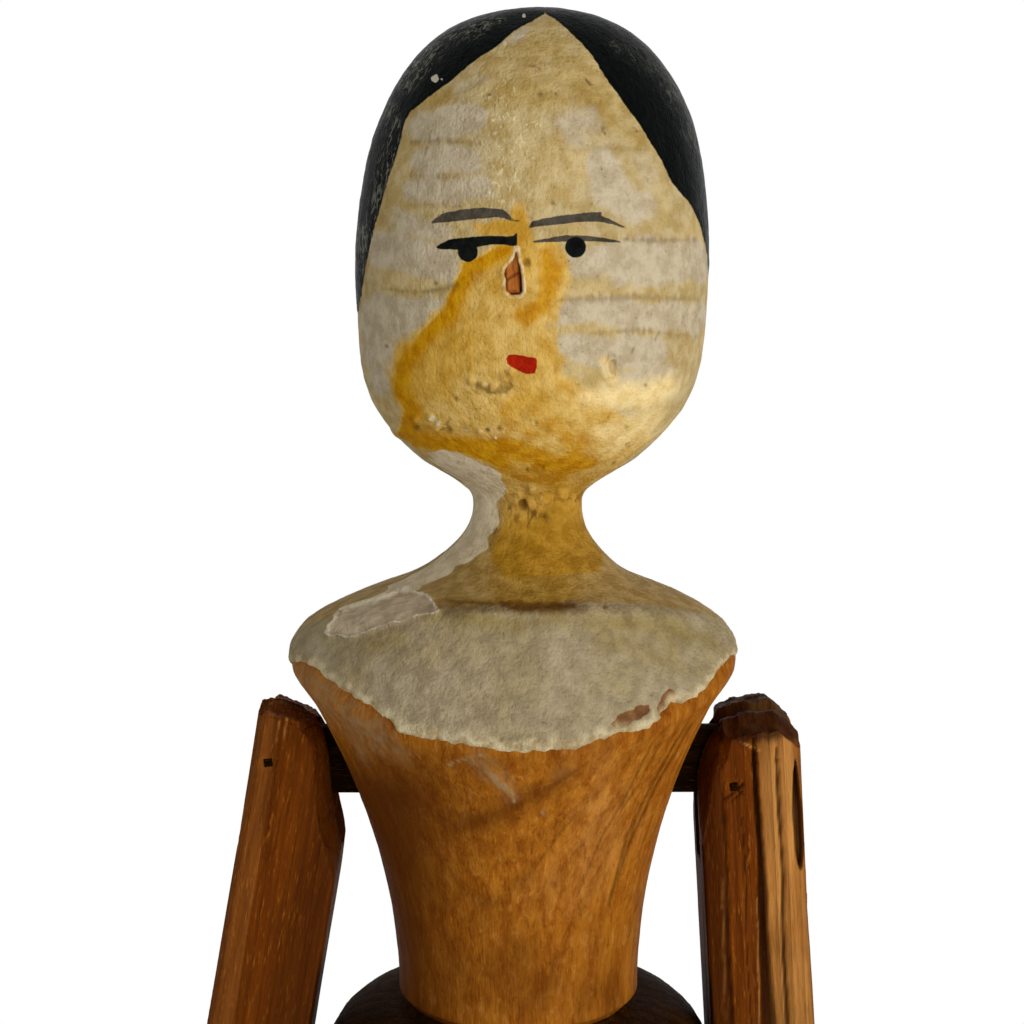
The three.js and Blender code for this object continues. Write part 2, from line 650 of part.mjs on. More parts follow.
// The part's origin is under the middle of its box, which the uneven arms put beside the torso's centre line
const bounds = new THREE.Box3().setFromObject(figure, true);
figure.position.x = -(bounds.min.x + bounds.max.x) / 2;
const doll = new THREE.Group();
doll.add(figure);

export default doll;
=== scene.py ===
"""A peg-wooden doll: turned body with a painted head and bust, whittled limbs and wooden pegs."""
import json
import math

import bmesh
import bpy
import numpy as np
from mathutils import Matrix, Vector
from mathutils.bvhtree import BVHTree

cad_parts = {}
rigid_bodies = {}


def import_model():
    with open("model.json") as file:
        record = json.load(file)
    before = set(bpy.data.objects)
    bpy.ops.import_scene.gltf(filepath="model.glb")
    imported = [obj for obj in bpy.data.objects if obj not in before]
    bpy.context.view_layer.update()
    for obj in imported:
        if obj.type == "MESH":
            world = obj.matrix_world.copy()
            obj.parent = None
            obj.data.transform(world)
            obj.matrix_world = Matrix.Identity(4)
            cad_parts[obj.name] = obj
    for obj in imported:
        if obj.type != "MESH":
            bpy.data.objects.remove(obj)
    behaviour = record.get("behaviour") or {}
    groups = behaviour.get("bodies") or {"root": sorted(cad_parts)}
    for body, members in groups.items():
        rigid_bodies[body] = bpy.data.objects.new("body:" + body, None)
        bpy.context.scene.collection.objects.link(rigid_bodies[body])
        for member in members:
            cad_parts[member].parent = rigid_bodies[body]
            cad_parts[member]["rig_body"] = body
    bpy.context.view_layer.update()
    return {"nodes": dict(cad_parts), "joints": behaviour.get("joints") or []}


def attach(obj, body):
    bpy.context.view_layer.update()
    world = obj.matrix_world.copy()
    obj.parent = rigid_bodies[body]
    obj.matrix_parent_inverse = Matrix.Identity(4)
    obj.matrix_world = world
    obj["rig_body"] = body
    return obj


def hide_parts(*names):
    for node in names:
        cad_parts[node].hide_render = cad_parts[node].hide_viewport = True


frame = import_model()

MM = 0.001

# The photograph's frame and the camera that took it, in pixels, mm and degrees
IMAGE = 1024
FOCAL = 1790
CAMERA_DISTANCE = 190
CAMERA_HEIGHT = 276.6
CAMERA_TILT = 7.1
SENSOR = 36
SILHOUETTE_FADE = 0.12

# The turned body: sizes in mm, and counts of points, steps and sides
HIP_OFFSET = 0.35
WAIST_EDGE = 200.7
WAIST_GROOVE = 0.7
RING_LEAST = 8
CURVE_STEPS = 16
CROWN_HEIGHT = 305
SHOULDER_HEIGHT = 237.7
ROD_HEIGHT = 226
ROD_RADIUS = 3.8
ROD_CLEARANCE = 0.3
TURNED_SIDES = 36
HIP_RINGS = (165, 199.45)
RING_SLACK = 0.05
NEAR = 0.02
WELD = 0.002
# A distance beyond any on the doll, in mm, or in the photograph, in pixels
FAR = 1e3

# The hollow cut across the chest and the back, in mm and degrees
BUST_DEPTH = 17.1
BUST_CURVE = 26.3
BUST_SLOPE = 25
BUST_RISE = 2.3
BUST_LOW = 228
BUST_HIGH = 252
CREASE_ROUNDING = 0.9

# The paint coat: thicknesses, how far its lip dives into the wood, and heights, in mm
COAT_THICKNESS = 0.12
LIP_THICKNESS = 0.42
LIP_DIVE = 0.6
BACK_LIP_DROP = 0.4
LIP_RAGGED = 0.38
LIP_NOISE = 1.1
LIP_NOISE_RADIUS = 23
SHOULDER_ROW = 246
NECK_SLOPE = (262, 249)
COAT_CORE = 228
LENS_ABOVE = 0.6
CUT_SLACK = 0.9
CROWN_RISE = 0.05
# Where, as a share of the way from the shoulders to the paint's lower edge, the close rows of the lip
# begin, it swells, turns under and shows pale, partly a painted highlight along its edge
LIP_START = 0.9
LIP_SWELL = (LIP_START - 0.25, LIP_START + 0.04)
LIP_TURN = LIP_START + 0.03
LIP_PALE = (LIP_START + 0.01, LIP_START + 0.06)
# Rows as (height, step) and columns as (degrees from the front, step), closer where there is detail
COAT_ROWS = ((305, 0.5), (299, 0.28), (283, 0.16), (267, 0.24), (258, 0.3), (SHOULDER_ROW, 0))
COAT_COLUMNS = ((-180, 2.5), (-100, 1), (-46, 0.5), (46, 1), (100, 2.5), (180, 0))
BUST_ROWS = 52
LIP_ROWS = 14
# The heights between which the paint's lower edge is looked for, and in how many steps
LIP_SEARCH = (BUST_HIGH - 6, BUST_LOW, 400)
# The lower edge of the grey paint on the chest, in the photograph's pixels
LENS_LIP = (
    (280, 664), (300, 665), (340, 692), (382, 719), (397, 736), (428, 743), (458, 748), (488, 753),
    (530, 755), (577, 753), (601, 742), (651, 731), (680, 706), (700, 701), (717, 680), (732, 660),
    (745, 655),
)


# Repeatable noise

def hashed(cells, seed):
    """A repeatable number from -1 to 1 for each whole-number cell."""
    x, y, z = (cells[:, i].astype(np.uint32) for i in range(3))
    start = np.uint32(seed * 3266489917 & 0xFFFFFFFF)
    mixed = x * np.uint32(374761393) + y * np.uint32(668265263) + z * np.uint32(2246822519) + start
    mixed = (mixed ^ (mixed >> np.uint32(13))) * np.uint32(1274126177)
    mixed = mixed ^ (mixed >> np.uint32(16))
    return mixed.astype(float) / 2**31 - 1


def noise(points, size, seed):
    """Smooth noise from -1 to 1, with lumps of that size along each axis."""
    scaled = points / np.asarray(size, float)
    cell = np.floor(scaled).astype(np.int64)
    part = scaled - cell
    part = part * part * (3 - 2 * part)
    total = np.zeros(len(points))
    for corner in np.ndindex(2, 2, 2):
        weight = np.prod(np.where(np.array(corner), part, 1 - part), axis=1)
        total += weight * hashed(cell + np.array(corner), seed)
    return total


def layered(points, size, seed, layers=3):
    """Noise with finer and weaker layers on top."""
    total = np.zeros(len(points))
    for i in range(layers):
        total += noise(points, np.asarray(size, float) / 2**i, seed + i) / 2**i
    return total


def smooth(low, high, value):
    """A smooth step from 0 at low to 1 at high."""
    t = np.clip((value - low) / (high - low), 0, 1)
    return t * t * (3 - 2 * t)


# Shapes drawn in the photograph's pixels

def project(points):
    """Where points in mm fall in the photograph, in pixels, as columns and rows."""
    tilt = math.radians(CAMERA_TILT)
    ahead = CAMERA_DISTANCE + points[:, 1]
    rise = points[:, 2] - CAMERA_HEIGHT
    depth = ahead * math.cos(tilt) - rise * math.sin(tilt)
    across = FOCAL * (points[:, 0] - AXIS_X) / depth
    up = FOCAL * (ahead * math.sin(tilt) + rise * math.cos(tilt)) / depth
    return np.column_stack((IMAGE / 2 + across, IMAGE / 2 - up))


def segment_distance(spots, a, b):
    """Distance of each spot from the segment, and how far along the segment the nearest point lies."""
    a, b = np.array(a, float), np.array(b, float)
    along = np.clip(((spots - a) @ (b - a)) / max((b - a) @ (b - a), 1e-9), 0, 1)
    nearest = a + along[:, None] * (b - a)
    return np.linalg.norm(spots - nearest, axis=1), along


def stroke(spots, points):
    """How deep each spot lies inside a stroke of (column, row, half width) points; negative outside."""
    best = np.full(len(spots), -FAR)
    for (ax, ay, ar), (bx, by, br) in zip(points, points[1:]):
        away, along = segment_distance(spots, (ax, ay), (bx, by))
        best = np.maximum(best, ar + along * (br - ar) - away)
    return best


def patch(spots, corners):
    """How deep each spot lies inside a closed shape; negative outside."""
    away = np.full(len(spots), FAR)
    inside = np.zeros(len(spots), bool)
    for (ax, ay), (bx, by) in zip(corners, corners[1:] + corners[:1]):
        away = np.minimum(away, segment_distance(spots, (ax, ay), (bx, by))[0])
        crosses = (ay > spots[:, 1]) != (by > spots[:, 1])
        if ay != by:
            inside ^= crosses & (spots[:, 0] < ax + (spots[:, 1] - ay) * (bx - ax) / (by - ay))
    return np.where(inside, away, -away)


def spot(spots, column, row, radius):
    """How deep each spot lies inside a round dot; negative outside."""
    return radius - np.hypot(spots[:, 0] - column, spots[:, 1] - row)


def deepest(spots, strokes):
    """How deep each spot lies inside the nearest of several strokes; negative outside."""
    return np.maximum.reduce([stroke(spots, points) for points in strokes])


# The turned outline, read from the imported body

def vectors(items, key):
    """A vector of each item of a mesh, as rows."""
    found = np.zeros(len(items) * 3)
    items.foreach_get(key, found)
    return found.reshape(-1, 3)


def mesh_points(obj):
    """An object's corner points, in mm."""
    return vectors(obj.data.vertices, "co") / MM


def corner_points(node):
    """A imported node's corner points, in mm."""
    return mesh_points(frame["nodes"][node])


def turned_rings(low, high):
    """Height, radius and centre of each turned ring of the body between two heights, from the top down."""
    points = np.unique(np.round(corner_points("body"), 2), axis=0)
    rings = []
    for height in np.unique(points[:, 2])[::-1]:
        ring = points[points[:, 2] == height]
        ends = ring[np.abs(ring[:, 1]) < NEAR, 0]
        whole = len(ring) >= RING_LEAST or height > CROWN_HEIGHT - NEAR
        if low <= height <= high and len(ends) and whole:
            rings.append((height, (ends.max() - ends.min()) / 2, (ends.max() + ends.min()) / 2))
    return np.array(rings)


class Outline:
    """A smooth curve through turned rings: height, radius and centre by the distance along it."""

    def __init__(self, rings):
        stations = rings.copy()
        if stations[0, 1] < 0.1:
            mirrored = stations[1] * (1, -1, 1)
            stations = np.vstack((mirrored, stations))
        steps = np.hypot(np.diff(stations[:, 0]), np.diff(stations[:, 1]))
        places = np.concatenate(([0], np.cumsum(steps)))
        slopes = np.gradient(stations, places, axis=0)
        first = len(stations) - len(rings)
        curve = []
        for i in range(first, len(stations) - 1):
            t = np.linspace(0, 1, CURVE_STEPS, endpoint=False)[:, None]
            h = steps[i]
            curve.append((2 * t**3 - 3 * t**2 + 1) * stations[i] + (t**3 - 2 * t**2 + t) * h * slopes[i]
                         + (3 * t**2 - 2 * t**3) * stations[i + 1] + (t**3 - t**2) * h * slopes[i + 1])
        curve.append(stations[-1:])
        self.height, self.radius, self.centre = np.vstack(curve).T
        self.along = np.concatenate(([0], np.cumsum(np.hypot(np.diff(self.height), np.diff(self.radius)))))

    def distance(self, height):
        """The distance along the curve at which it reaches a height."""
        return np.interp(-np.asarray(height, float), -self.height, self.along)

    def at(self, distance):
        """Height, radius and centre at a distance along the curve."""
        kept = (self.height, self.radius, self.centre)
        return tuple(np.interp(distance, self.along, values) for values in kept)


def body_axis():
    """Where the turned body's own axis stands along X, midway between the hips, in mm."""
    hips = [j["pos_m"][0] for j in frame["joints"] if j["name"].endswith("_hip")]
    return float(np.mean(hips)) / MM - HIP_OFFSET


AXIS_X = body_axis()
TURNED = Outline(turned_rings(WAIST_EDGE - RING_SLACK, CROWN_HEIGHT + RING_SLACK))
HIPS = Outline(turned_rings(*HIP_RINGS))


def bust_cut(angle, height, centre):
    """The radius at which the hollow of the chest or back cuts the body, in a direction."""
    reach = BUST_CURVE + (SHOULDER_HEIGHT + BUST_RISE - height) * math.tan(math.radians(BUST_SLOPE))
    aside = centre - AXIS_X
    back = BUST_CURVE - BUST_DEPTH
    half = aside * np.sin(angle) + back * np.abs(np.cos(angle))
    cut = -half + np.sqrt(np.maximum(half**2 - aside**2 - back**2 + reach**2, 0))
    return np.where((height > BUST_LOW) & (height < BUST_HIGH), cut, FAR)


def softer_least(a, b, rounding):
    """The lesser of two values, with the corner between them rounded off."""
    share = np.clip(0.5 + (b - a) / (2 * rounding), 0, 1)
    return b + (a - b) * share - rounding * share * (1 - share)


def body_radius(angle, height, radius, centre):
    """The body's true radius in a direction: the turned one, or the hollow's where that is deeper."""
    return softer_least(radius, bust_cut(angle, height, centre), CREASE_ROUNDING)


def around(angle, radius, height, centre):
    """Points at an angle from the front, in mm; angles grow towards +X."""
    across, ahead = radius * np.sin(angle), radius * np.cos(angle)
    return np.stack((centre + across, -ahead, height + 0 * angle), axis=-1)


# Meshes

def stepped(stations):
    """Numbers from the first station to the last, at the step that each stretch names."""
    found = [np.array([stations[-1][0]], float)]
    for (start, step), (end, _) in reversed(list(zip(stations, stations[1:]))):
        count = max(1, round(abs(end - start) / step))
        found.insert(0, np.linspace(start, end, count, endpoint=False))
    return np.concatenate(found)


def added(name, data):
    """A new object in the scene, from a mesh, a camera or a light."""
    obj = bpy.data.objects.new(name, data)
    bpy.context.scene.collection.objects.link(obj)
    return obj


def solid(name, points, faces):
    """An object from points in mm and faces."""
    mesh = bpy.data.meshes.new(name)
    mesh.from_pydata(points * MM, [], faces)
    mesh.update()
    mesh.shade_smooth()
    return added(name, mesh)


def revolved(name, grid, top, bottom):
    """A closed body from rows of points round an axis, from the top down, with a point at either end."""
    rows, columns, _ = grid.shape
    points = np.vstack((grid.reshape(-1, 3), top, bottom))
    index = np.arange(rows * columns).reshape(rows, columns)
    after = np.roll(index, -1, axis=1)
    quads = np.stack((index[:-1], index[1:], after[1:], after[:-1]), axis=-1).reshape(-1, 4)
    crown, foot = rows * columns, rows * columns + 1
    faces = quads.tolist()
    faces += [(crown, int(a), int(b)) for a, b in zip(index[0], after[0])]
    faces += [(foot, int(b), int(a)) for a, b in zip(index[-1], after[-1])]
    return solid(name, points, faces)


def mark(obj, name, values):
    """Stores a number, or a point, for each corner point of the mesh."""
    kind = "FLOAT" if np.ndim(values) == 1 else "FLOAT_VECTOR"
    layer = obj.data.attributes.new(name, kind, "POINT")
    key = "value" if kind == "FLOAT" else "vector"
    layer.data.foreach_set(key, np.asarray(values, np.float32).ravel())


def remark(obj, name, values):
    """Replaces the numbers that a mesh already holds under a name."""
    obj.data.attributes.remove(obj.data.attributes[name])
    mark(obj, name, values)


def mesh_normals(obj):
    """The outward direction at each corner point of an object."""
    return vectors(obj.data.vertex_normals, "vector")


def move_points(obj, points):
    """Puts an object's corner points at new places, in mm."""
    obj.data.vertices.foreach_set("co", (points * MM).ravel())
    obj.data.update()


def evaluated(obj):
    """Puts the result of an object's modifiers into its own mesh."""
    depsgraph = bpy.context.evaluated_depsgraph_get()
    made = bpy.data.meshes.new_from_object(obj.evaluated_get(depsgraph))
    obj.modifiers.clear()
    old = obj.data
    obj.data = made
    bpy.data.meshes.remove(old)
    made.shade_smooth()


def even_faces(obj, size):
    """Remeshes a closed solid into even faces of that size, in mm."""
    remesh = obj.modifiers.new("remesh", "REMESH")
    remesh.mode = "VOXEL"
    remesh.voxel_size = size * MM
    evaluated(obj)


def edited(mesh, change):
    """Makes a change to a mesh in its editable form."""
    work = bmesh.new()
    work.from_mesh(mesh)
    change(work)
    work.to_mesh(mesh)
    work.free()


def copied(node, name):
    """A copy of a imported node's solid as a new object, with its corner points joined."""
    mesh = frame["nodes"][node].data.copy()
    mesh.materials.clear()
    edited(mesh, lambda work: bmesh.ops.remove_doubles(work, verts=work.verts, dist=WELD * MM))
    return added(name, mesh)


def home(node):
    """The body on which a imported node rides."""
    return frame["nodes"][node]["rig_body"]


def stands_for(obj, node):
    """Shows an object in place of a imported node, on the same body."""
    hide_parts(node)
    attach(obj, home(node))


# Painted head and bust

def lip_heights(angles):
    """How low the paint reaches each way: the photograph's edge in front, the hollow's edge behind."""
    heights = np.linspace(*LIP_SEARCH)
    edge_columns, edge_rows = np.array(LENS_LIP, float).T
    found = []
    for angle in angles:
        _, radius, centre = TURNED.at(TURNED.distance(heights))
        true = body_radius(np.full_like(heights, angle), heights, radius, centre)
        seen = project(around(np.full_like(heights, angle), true + LIP_THICKNESS, heights, centre))
        below = seen[:, 1] - np.interp(seen[:, 0], edge_columns, edge_rows)
        front = heights[np.argmax(below > 0)] if np.any(below > 0) else BUST_LOW
        uncut = bust_cut(np.full_like(heights, angle), heights, centre) > radius
        lens = uncut & (heights < SHOULDER_HEIGHT + LENS_ABOVE)
        behind = heights[np.argmax(lens)] - BACK_LIP_DROP
        share = smooth(-0.1, 0.12, math.cos(angle))
        found.append(share * front + (1 - share) * behind)
    return np.array(found)


def coat_grid():
    """Points on the body under the paint, from the crown to the lip, with each row's share of the lip."""
    angles = np.radians(stepped(COAT_COLUMNS)[:-1])
    upper = coat_distances()
    ragged = np.column_stack((np.sin(angles), np.cos(angles), 0 * angles))
    lip = lip_heights(angles) + 0.5 * LIP_RAGGED * layered(ragged * LIP_NOISE_RADIUS, LIP_NOISE, 5, 3)
    ends = TURNED.distance(lip)
    above, within = np.linspace(0, LIP_START, BUST_ROWS), np.linspace(LIP_START, 1, LIP_ROWS)
    shares = np.concatenate((above, within[1:]))
    start = upper[-1]
    rows = [np.full_like(angles, d) for d in upper[:-1]]
    rows += [start + share * (ends - start) for share in shares]
    distance = np.array(rows)
    angle = np.broadcast_to(angles, distance.shape)
    height, radius, centre = TURNED.at(distance)
    true = body_radius(angle, height, radius, centre)
    share = np.concatenate((np.zeros(len(upper) - 1), shares))[:, None] + 0 * angle
    return around(angle, true, height, centre), angle, share


def coat_distances():
    """Distances along the outline for the rows of the head and neck."""
    found = []
    for (start, step), (end, _) in zip(COAT_ROWS, COAT_ROWS[1:]):
        first, last = TURNED.distance(start), TURNED.distance(end)
        found.append(np.linspace(first, last, max(1, round((last - first) / step)), endpoint=False))
    found.append([TURNED.distance(SHOULDER_ROW)])
    return np.concatenate(found)[1:]


def grid_normals(grid):
    """Outward directions for a grid of points round an axis."""
    down = np.gradient(grid, axis=0)
    aside = np.roll(grid, -1, axis=1) - np.roll(grid, 1, axis=1)
    normal = np.cross(aside, down)
    normal /= np.maximum(np.linalg.norm(normal, axis=-1, keepdims=True), 1e-9)
    outward = grid[..., :2] - np.array((AXIS_X, 0))
    flip = np.sign(np.sum(normal[..., :2] * outward, axis=-1, keepdims=True))
    return normal * np.where(np.abs(normal[..., 2:3]) > 0.98, np.sign(normal[..., 2:3]) * 1.0, flip)


# Shapes on the paint, in the photograph's pixels: corners of closed shapes, (column, row, half width)
# points of strokes and (column, row, radius) dots; the right side is the doll's own
NOSE_HOLE = (
    (517, 249), (513.7, 260), (505.6, 270), (504.5, 274), (506.5, 280), (507.4, 291), (511, 295),
    (520, 294.5), (522.6, 291), (522, 279), (520.5, 268), (518, 261),
)
BROW_RIGHT = (
    (432, 223), (437, 218.5), (444, 213.8), (461.5, 210), (484, 208.3), (502, 209.5), (509, 214.5),
    (511.5, 218.5), (519, 221), (510, 220.4), (505, 218), (497, 216.7), (484, 217.9), (466, 219.7),
    (448, 222),
)
BROW_LEFT = (
    (528.6, 227.5), (532, 221.9), (544, 219), (564, 215.6), (584, 213.4), (601, 212.3), (600, 216),
    (612, 221), (626, 228.3), (611, 223.6), (598, 221.4), (584, 221.2), (564, 223.4), (546, 225.4),
)
LID_RIGHT = (
    (436.6, 246.9), (441.5, 243.5), (448, 240.2), (457, 238.4), (475, 236.8), (493, 235.7), (506, 236.5),
    (513, 235.7), (517.4, 232.6), (517, 246.4), (506, 245), (493, 244.6), (477, 247.3), (461.6, 249.6),
    (448, 249.6), (439, 249),
)
LID_LEFT = (
    (533, 242, 0.4), (551, 239.8, 1.8), (566, 238.4, 2.9), (586, 238.6, 2.4), (604, 240, 1.5),
    (620, 242, 0.3),
)
MOUTH = (
    (506.3, 358), (509, 354.5), (515, 354), (525, 355.6), (536.4, 358), (537, 366.3), (534.8, 373),
    (526, 374), (515, 368.5), (507.4, 364),
)
PUPILS = ((468.3, 252, 10), (575.4, 247.3, 10.4))
HAIR_RIGHT = (
    (545, 15), (534, 21), (514, 32), (497, 47), (474, 62), (454, 80), (432, 96), (411, 113), (406, 124),
    (400, 149), (391, 174), (382, 206), (375, 231), (369, 261), (364, 286), (360, 311), (340, 330),
    (250, 330), (250, -80), (545, -80),
)
HAIR_LEFT = (
    (545, 15), (556, 21), (579, 42), (591, 55), (604, 77), (619, 97), (638, 124), (661, 162), (671, 184),
    (688, 204), (698, 224), (704, 249), (707, 274), (720, 290), (800, 290), (800, -80), (545, -80),
)
# Washes of colour: brush strokes of (column, row, half width), each with its strength and soft edge
AMBER = (
    (((520, 214, 6), (523, 236, 9), (508, 258, 11), (494, 292, 10)), 0.66, 8),
    (((474, 228, 3), (512, 229, 8)), 0.6, 6),
    (((546, 252, 10), (551, 270, 12), (549, 290, 12), (540, 306, 13), (522, 314, 12)), 0.86, 11),
    (((450, 316, 7), (426, 338, 11), (408, 360, 12), (404, 380, 8)), 0.95, 13),
    (((426, 438, 8), (470, 442, 13), (516, 453, 18), (560, 464, 16), (592, 462, 9)), 0.9, 14),
    (((546, 340, 7), (556, 376, 10), (588, 412, 12)), 0.78, 14),
    (((464, 416, 12), (530, 424, 20), (590, 440, 14)), 0.86, 28),
    (((588, 430, 8), (606, 427, 8)), 0.66, 12),
    (((512, 476, 9), (545, 478, 12), (578, 474, 8)), 0.8, 10),
)
# The yellow of old varnish over the nose, mouth and chin, which shrinks down the neck's rows,
# with its darker tide line: how far inside the edge it runs and how wide it is, and where it shows
TIDE_INSIDE = 7
TIDE = 13
STAIN_FADE = (545, 600)
STAIN_SHRINK = 14
TIDE_LEFT = ((520, 244), (380, 244), (380, 470), (520, 470))
STAIN = (
    (516, 215), (526, 215), (534, 238), (552, 246), (561, 262), (562, 288), (549, 310), (546, 326),
    (551, 354), (562, 374), (584, 388), (602, 400), (620, 412), (642, 424), (652, 438), (614, 470),
    (584, 490), (588, 505), (600, 540), (610, 580), (500, 590), (488, 560), (504, 520), (505, 480),
    (494, 466), (466, 455), (440, 452), (414, 446), (398, 432), (404, 410), (394, 392), (396, 362),
    (418, 334), (446, 304), (458, 276), (462, 262), (484, 252), (504, 240), (512, 236), (476, 236),
    (472, 222), (512, 224),
)
GREY = (
    (((386, 250, 18), (440, 262, 16), (452, 276, 6)), 0.95, 9),
    (((382, 318, 24), (424, 312, 16), (438, 306, 6)), 0.95, 9),
    (((374, 352, 14), (386, 352, 12), (380, 386, 10)), 0.9, 9),
    (((582, 262, 13), (640, 262, 26), (694, 262, 20)), 0.85, 10),
    (((570, 312, 10), (640, 316, 15), (694, 318, 14)), 0.95, 9),
    (((566, 344, 10), (598, 352, 16), (650, 352, 18)), 0.95, 9),
    (((630, 384, 16), (660, 376, 18)), 0.8, 14), (((424, 128, 14), (470, 118, 15)), 0.9, 9),
    (((420, 160, 11), (466, 160, 12)), 0.9, 9), (((416, 192, 12), (480, 190, 11)), 0.85, 9),
    (((404, 222, 14), (440, 232, 10)), 0.7, 10), (((464, 88, 6), (486, 78, 8)), 0.6, 9),
    (((514, 40, 4), (526, 30, 6)), 0.7, 8), (((590, 122, 14), (560, 122, 14), (576, 136, 12)), 0.6, 14),
    (((600, 164, 16), (616, 196, 18), (640, 204, 14)), 0.85, 12),
    (((640, 160, 12), (650, 180, 12)), 0.5, 14),
)
# The middle column of the yellow on the neck's slope, and how far out it fades
NECK_COLUMN = 535
NECK_FADE = (70, 20)
# Painted highlights on the jaw and cheek at the viewer's right
JAW_AND_CHEEK_HIGHLIGHTS = (
    (((588, 398, 10), (640, 396, 14), (668, 382, 8)), 0.9, 12),
    (((610, 432, 16), (650, 420, 12)), 0.8, 14), (((606, 362, 6), (612, 380, 5)), 0.8, 6),
)
CREASE = (
    (((448, 602, 1.5), (492, 605, 1.5)), 0.9, 3),
    (((503, 606, 3.5), (540, 607, 4.5), (573, 607, 3)), 1, 3),
    (((523, 595, 1.5), (541, 593, 2)), 0.8, 3), (((430, 610, 3), (580, 612, 3)), 0.45, 8),
)
# Stains of old varnish over the forehead and the grey of the chest
OLIVE = (
    (((490, 70, 6), (544, 46, 14), (604, 104, 16), (640, 148, 8)), 0.75, 22),
    (((486, 96, 8), (520, 90, 12), (560, 100, 10)), 0.7, 16), (((420, 112, 5), (444, 100, 8)), 0.95, 9),
    (((592, 104, 10), (600, 114, 9)), 0.95, 12),
    (((380, 150, 5), (372, 220, 8), (378, 244, 5)), 0.6, 12),
    (((430, 616, 5), (500, 622, 7), (580, 620, 7), (660, 626, 10), (716, 646, 8)), 0.75, 16),
    (((372, 645, 6), (400, 640, 6)), 0.6, 12), (((360, 672, 3), (352, 690, 3)), 0.5, 6),
    (((600, 640, 6), (640, 650, 8), (690, 668, 6)), 0.5, 14),
)
STREAK = (
    (380, 600), (400, 575), (436, 540), (470, 512), (460, 480), (425, 450), (447, 451), (467, 455),
    (484, 461), (495, 468), (503.6, 478), (504, 489), (499.7, 500), (500, 520.5), (493, 532), (486, 547),
    (474, 557), (456, 569), (440, 580), (415, 592),
)
# Dark bands, each with its strength
BANDS = (
    (((414, 143, 2.5), (446, 141, 3.5), (482, 144, 2)), 0.75),
    (((412, 176, 2), (440, 177, 2.5), (474, 174, 1.5)), 0.85),
    (((404, 206, 2), (440, 205, 2.5), (480, 209, 2)), 0.6),
    (((614, 238, 2), (650, 241, 3), (692, 240, 2)), 0.8),
    (((386, 289, 2), (420, 293, 3), (455, 286, 4)), 0.85),
    (((560, 300, 3), (625, 297, 5), (694, 299, 3)), 0.6),
    (((590, 333, 2), (640, 330, 4), (694, 337, 2)), 0.6),
    (((560, 150, 3), (620, 148, 4), (655, 152, 2)), 0.35),
    (((470, 383, 4), (487, 388, 4), (503, 390, 4), (511, 381, 3), (506, 373, 2)), 0.9),
    (((440, 606, 4), (490, 609, 5), (540, 610, 5), (585, 610, 4)), 0.7),
    (((430, 616, 4), (385, 632, 5), (345, 650, 3)), 0.5),
)
PITS = (
    (527, 262, 3.4), (522, 503, 4), (533, 512, 3), (541, 515, 3.6), (509, 508, 2.4), (567, 498, 2.4),
    (436, 283, 1.8), (387, 346, 1.8), (456, 398, 2), (417, 427, 3), (449, 429, 3.4), (487, 429, 2.4),
    (500, 427, 2.6), (536, 422, 1.5), (543, 467, 1.7), (527, 469, 1.6), (523, 505, 5), (545, 516, 3),
    (577, 496, 3), (494, 531, 2.4), (604, 608, 2.4), (603, 128, 2.2), (553, 203, 1.8), (540, 94, 2),
    (470, 425, 1.8), (627, 445, 2), (613, 462, 1.6), (645, 385, 1.6), (626, 427, 2),
)
# Blisters and lumps, each with its height in mm
BLISTERS = (
    (538, 514, 6, 0.45), (520, 519, 5, 0.45), (543, 500, 8, 0.4), (561, 492, 6, 0.4), (518, 492, 6, 0.3),
    (548, 520, 4, 0.4), (573, 506, 6, 0.3), (530, 503, 5, 0.4), (552, 508, 5, 0.35), (531, 488, 5, 0.3),
    (611, 356, 5, 0.25), (597, 388, 8, 0.18), (604, 376, 5, 0.2), (586, 398, 5, 0.14),
    (418, 417, 4, 0.35), (440, 425, 5, 0.35), (431, 416, 4, 0.25), (468, 427, 4, 0.25),
    (480, 431, 3, 0.2), (494, 388, 6, 0.3), (505, 378, 5, 0.3), (482, 384, 5, 0.22), (470, 379, 5, 0.18),
    (511, 370, 4, 0.2), (549, 391, 6, 0.15), (492, 640, 12, 0.12), (640, 655, 10, 0.12),
    (655, 700, 8, 0.25), (676, 690, 6, 0.2), (397, 732, 5, 0.3), (403, 738, 4, 0.3),
)
# Crusts of small lumps, each with its height in mm
LUMPS = (
    (((508, 494, 5), (545, 504, 13), (574, 498, 6)), 0.42),
    (((458, 382, 5), (492, 387, 7), (512, 374, 6)), 0.2),
    (((404, 416, 4), (446, 424, 6), (500, 430, 4)), 0.2), (((596, 388, 8), (611, 362, 6)), 0.14),
    (((640, 712, 8), (668, 698, 6)), 0.2), (((386, 722, 6), (404, 738, 4)), 0.25),
)
# Middle and half sizes of the round scar on the cheek and of the nose's low mound
SCAR = (611, 366, 5, 9)
NOSE_MOUND = (523, 276, 23, 24)
NOSE_RIM_FADE = (300, 270)
NOSE_RIM_OUT = 1.7
NOSE_RIM_WIDE = 1.3
FLAKE = (
    (327, 634), (334, 622), (341, 613), (362, 606), (386, 598), (409, 591), (424, 596), (433, 603),
    (438, 612), (424, 615), (408, 620), (382, 625), (366, 633), (353, 637), (336, 635),
)
JAW_LEDGE = ((396, 431, 5), (410, 434, 3), (430, 434, 1))
CHIPS = (
    ((610, 724), (620, 714), (634, 708), (647, 705), (650, 712), (640, 718), (630, 725), (616, 729)),
    ((654, 709), (661, 695), (668, 689), (674, 696), (673, 708), (665, 716), (658, 717)),
    ((384, 716), (392, 722), (400, 733), (394, 732), (386, 724)),
)
# The gritty patch of the forehead, which carries painted glints
GRIT = ((500, 100, 20), (515, 140, 30), (500, 190, 16))
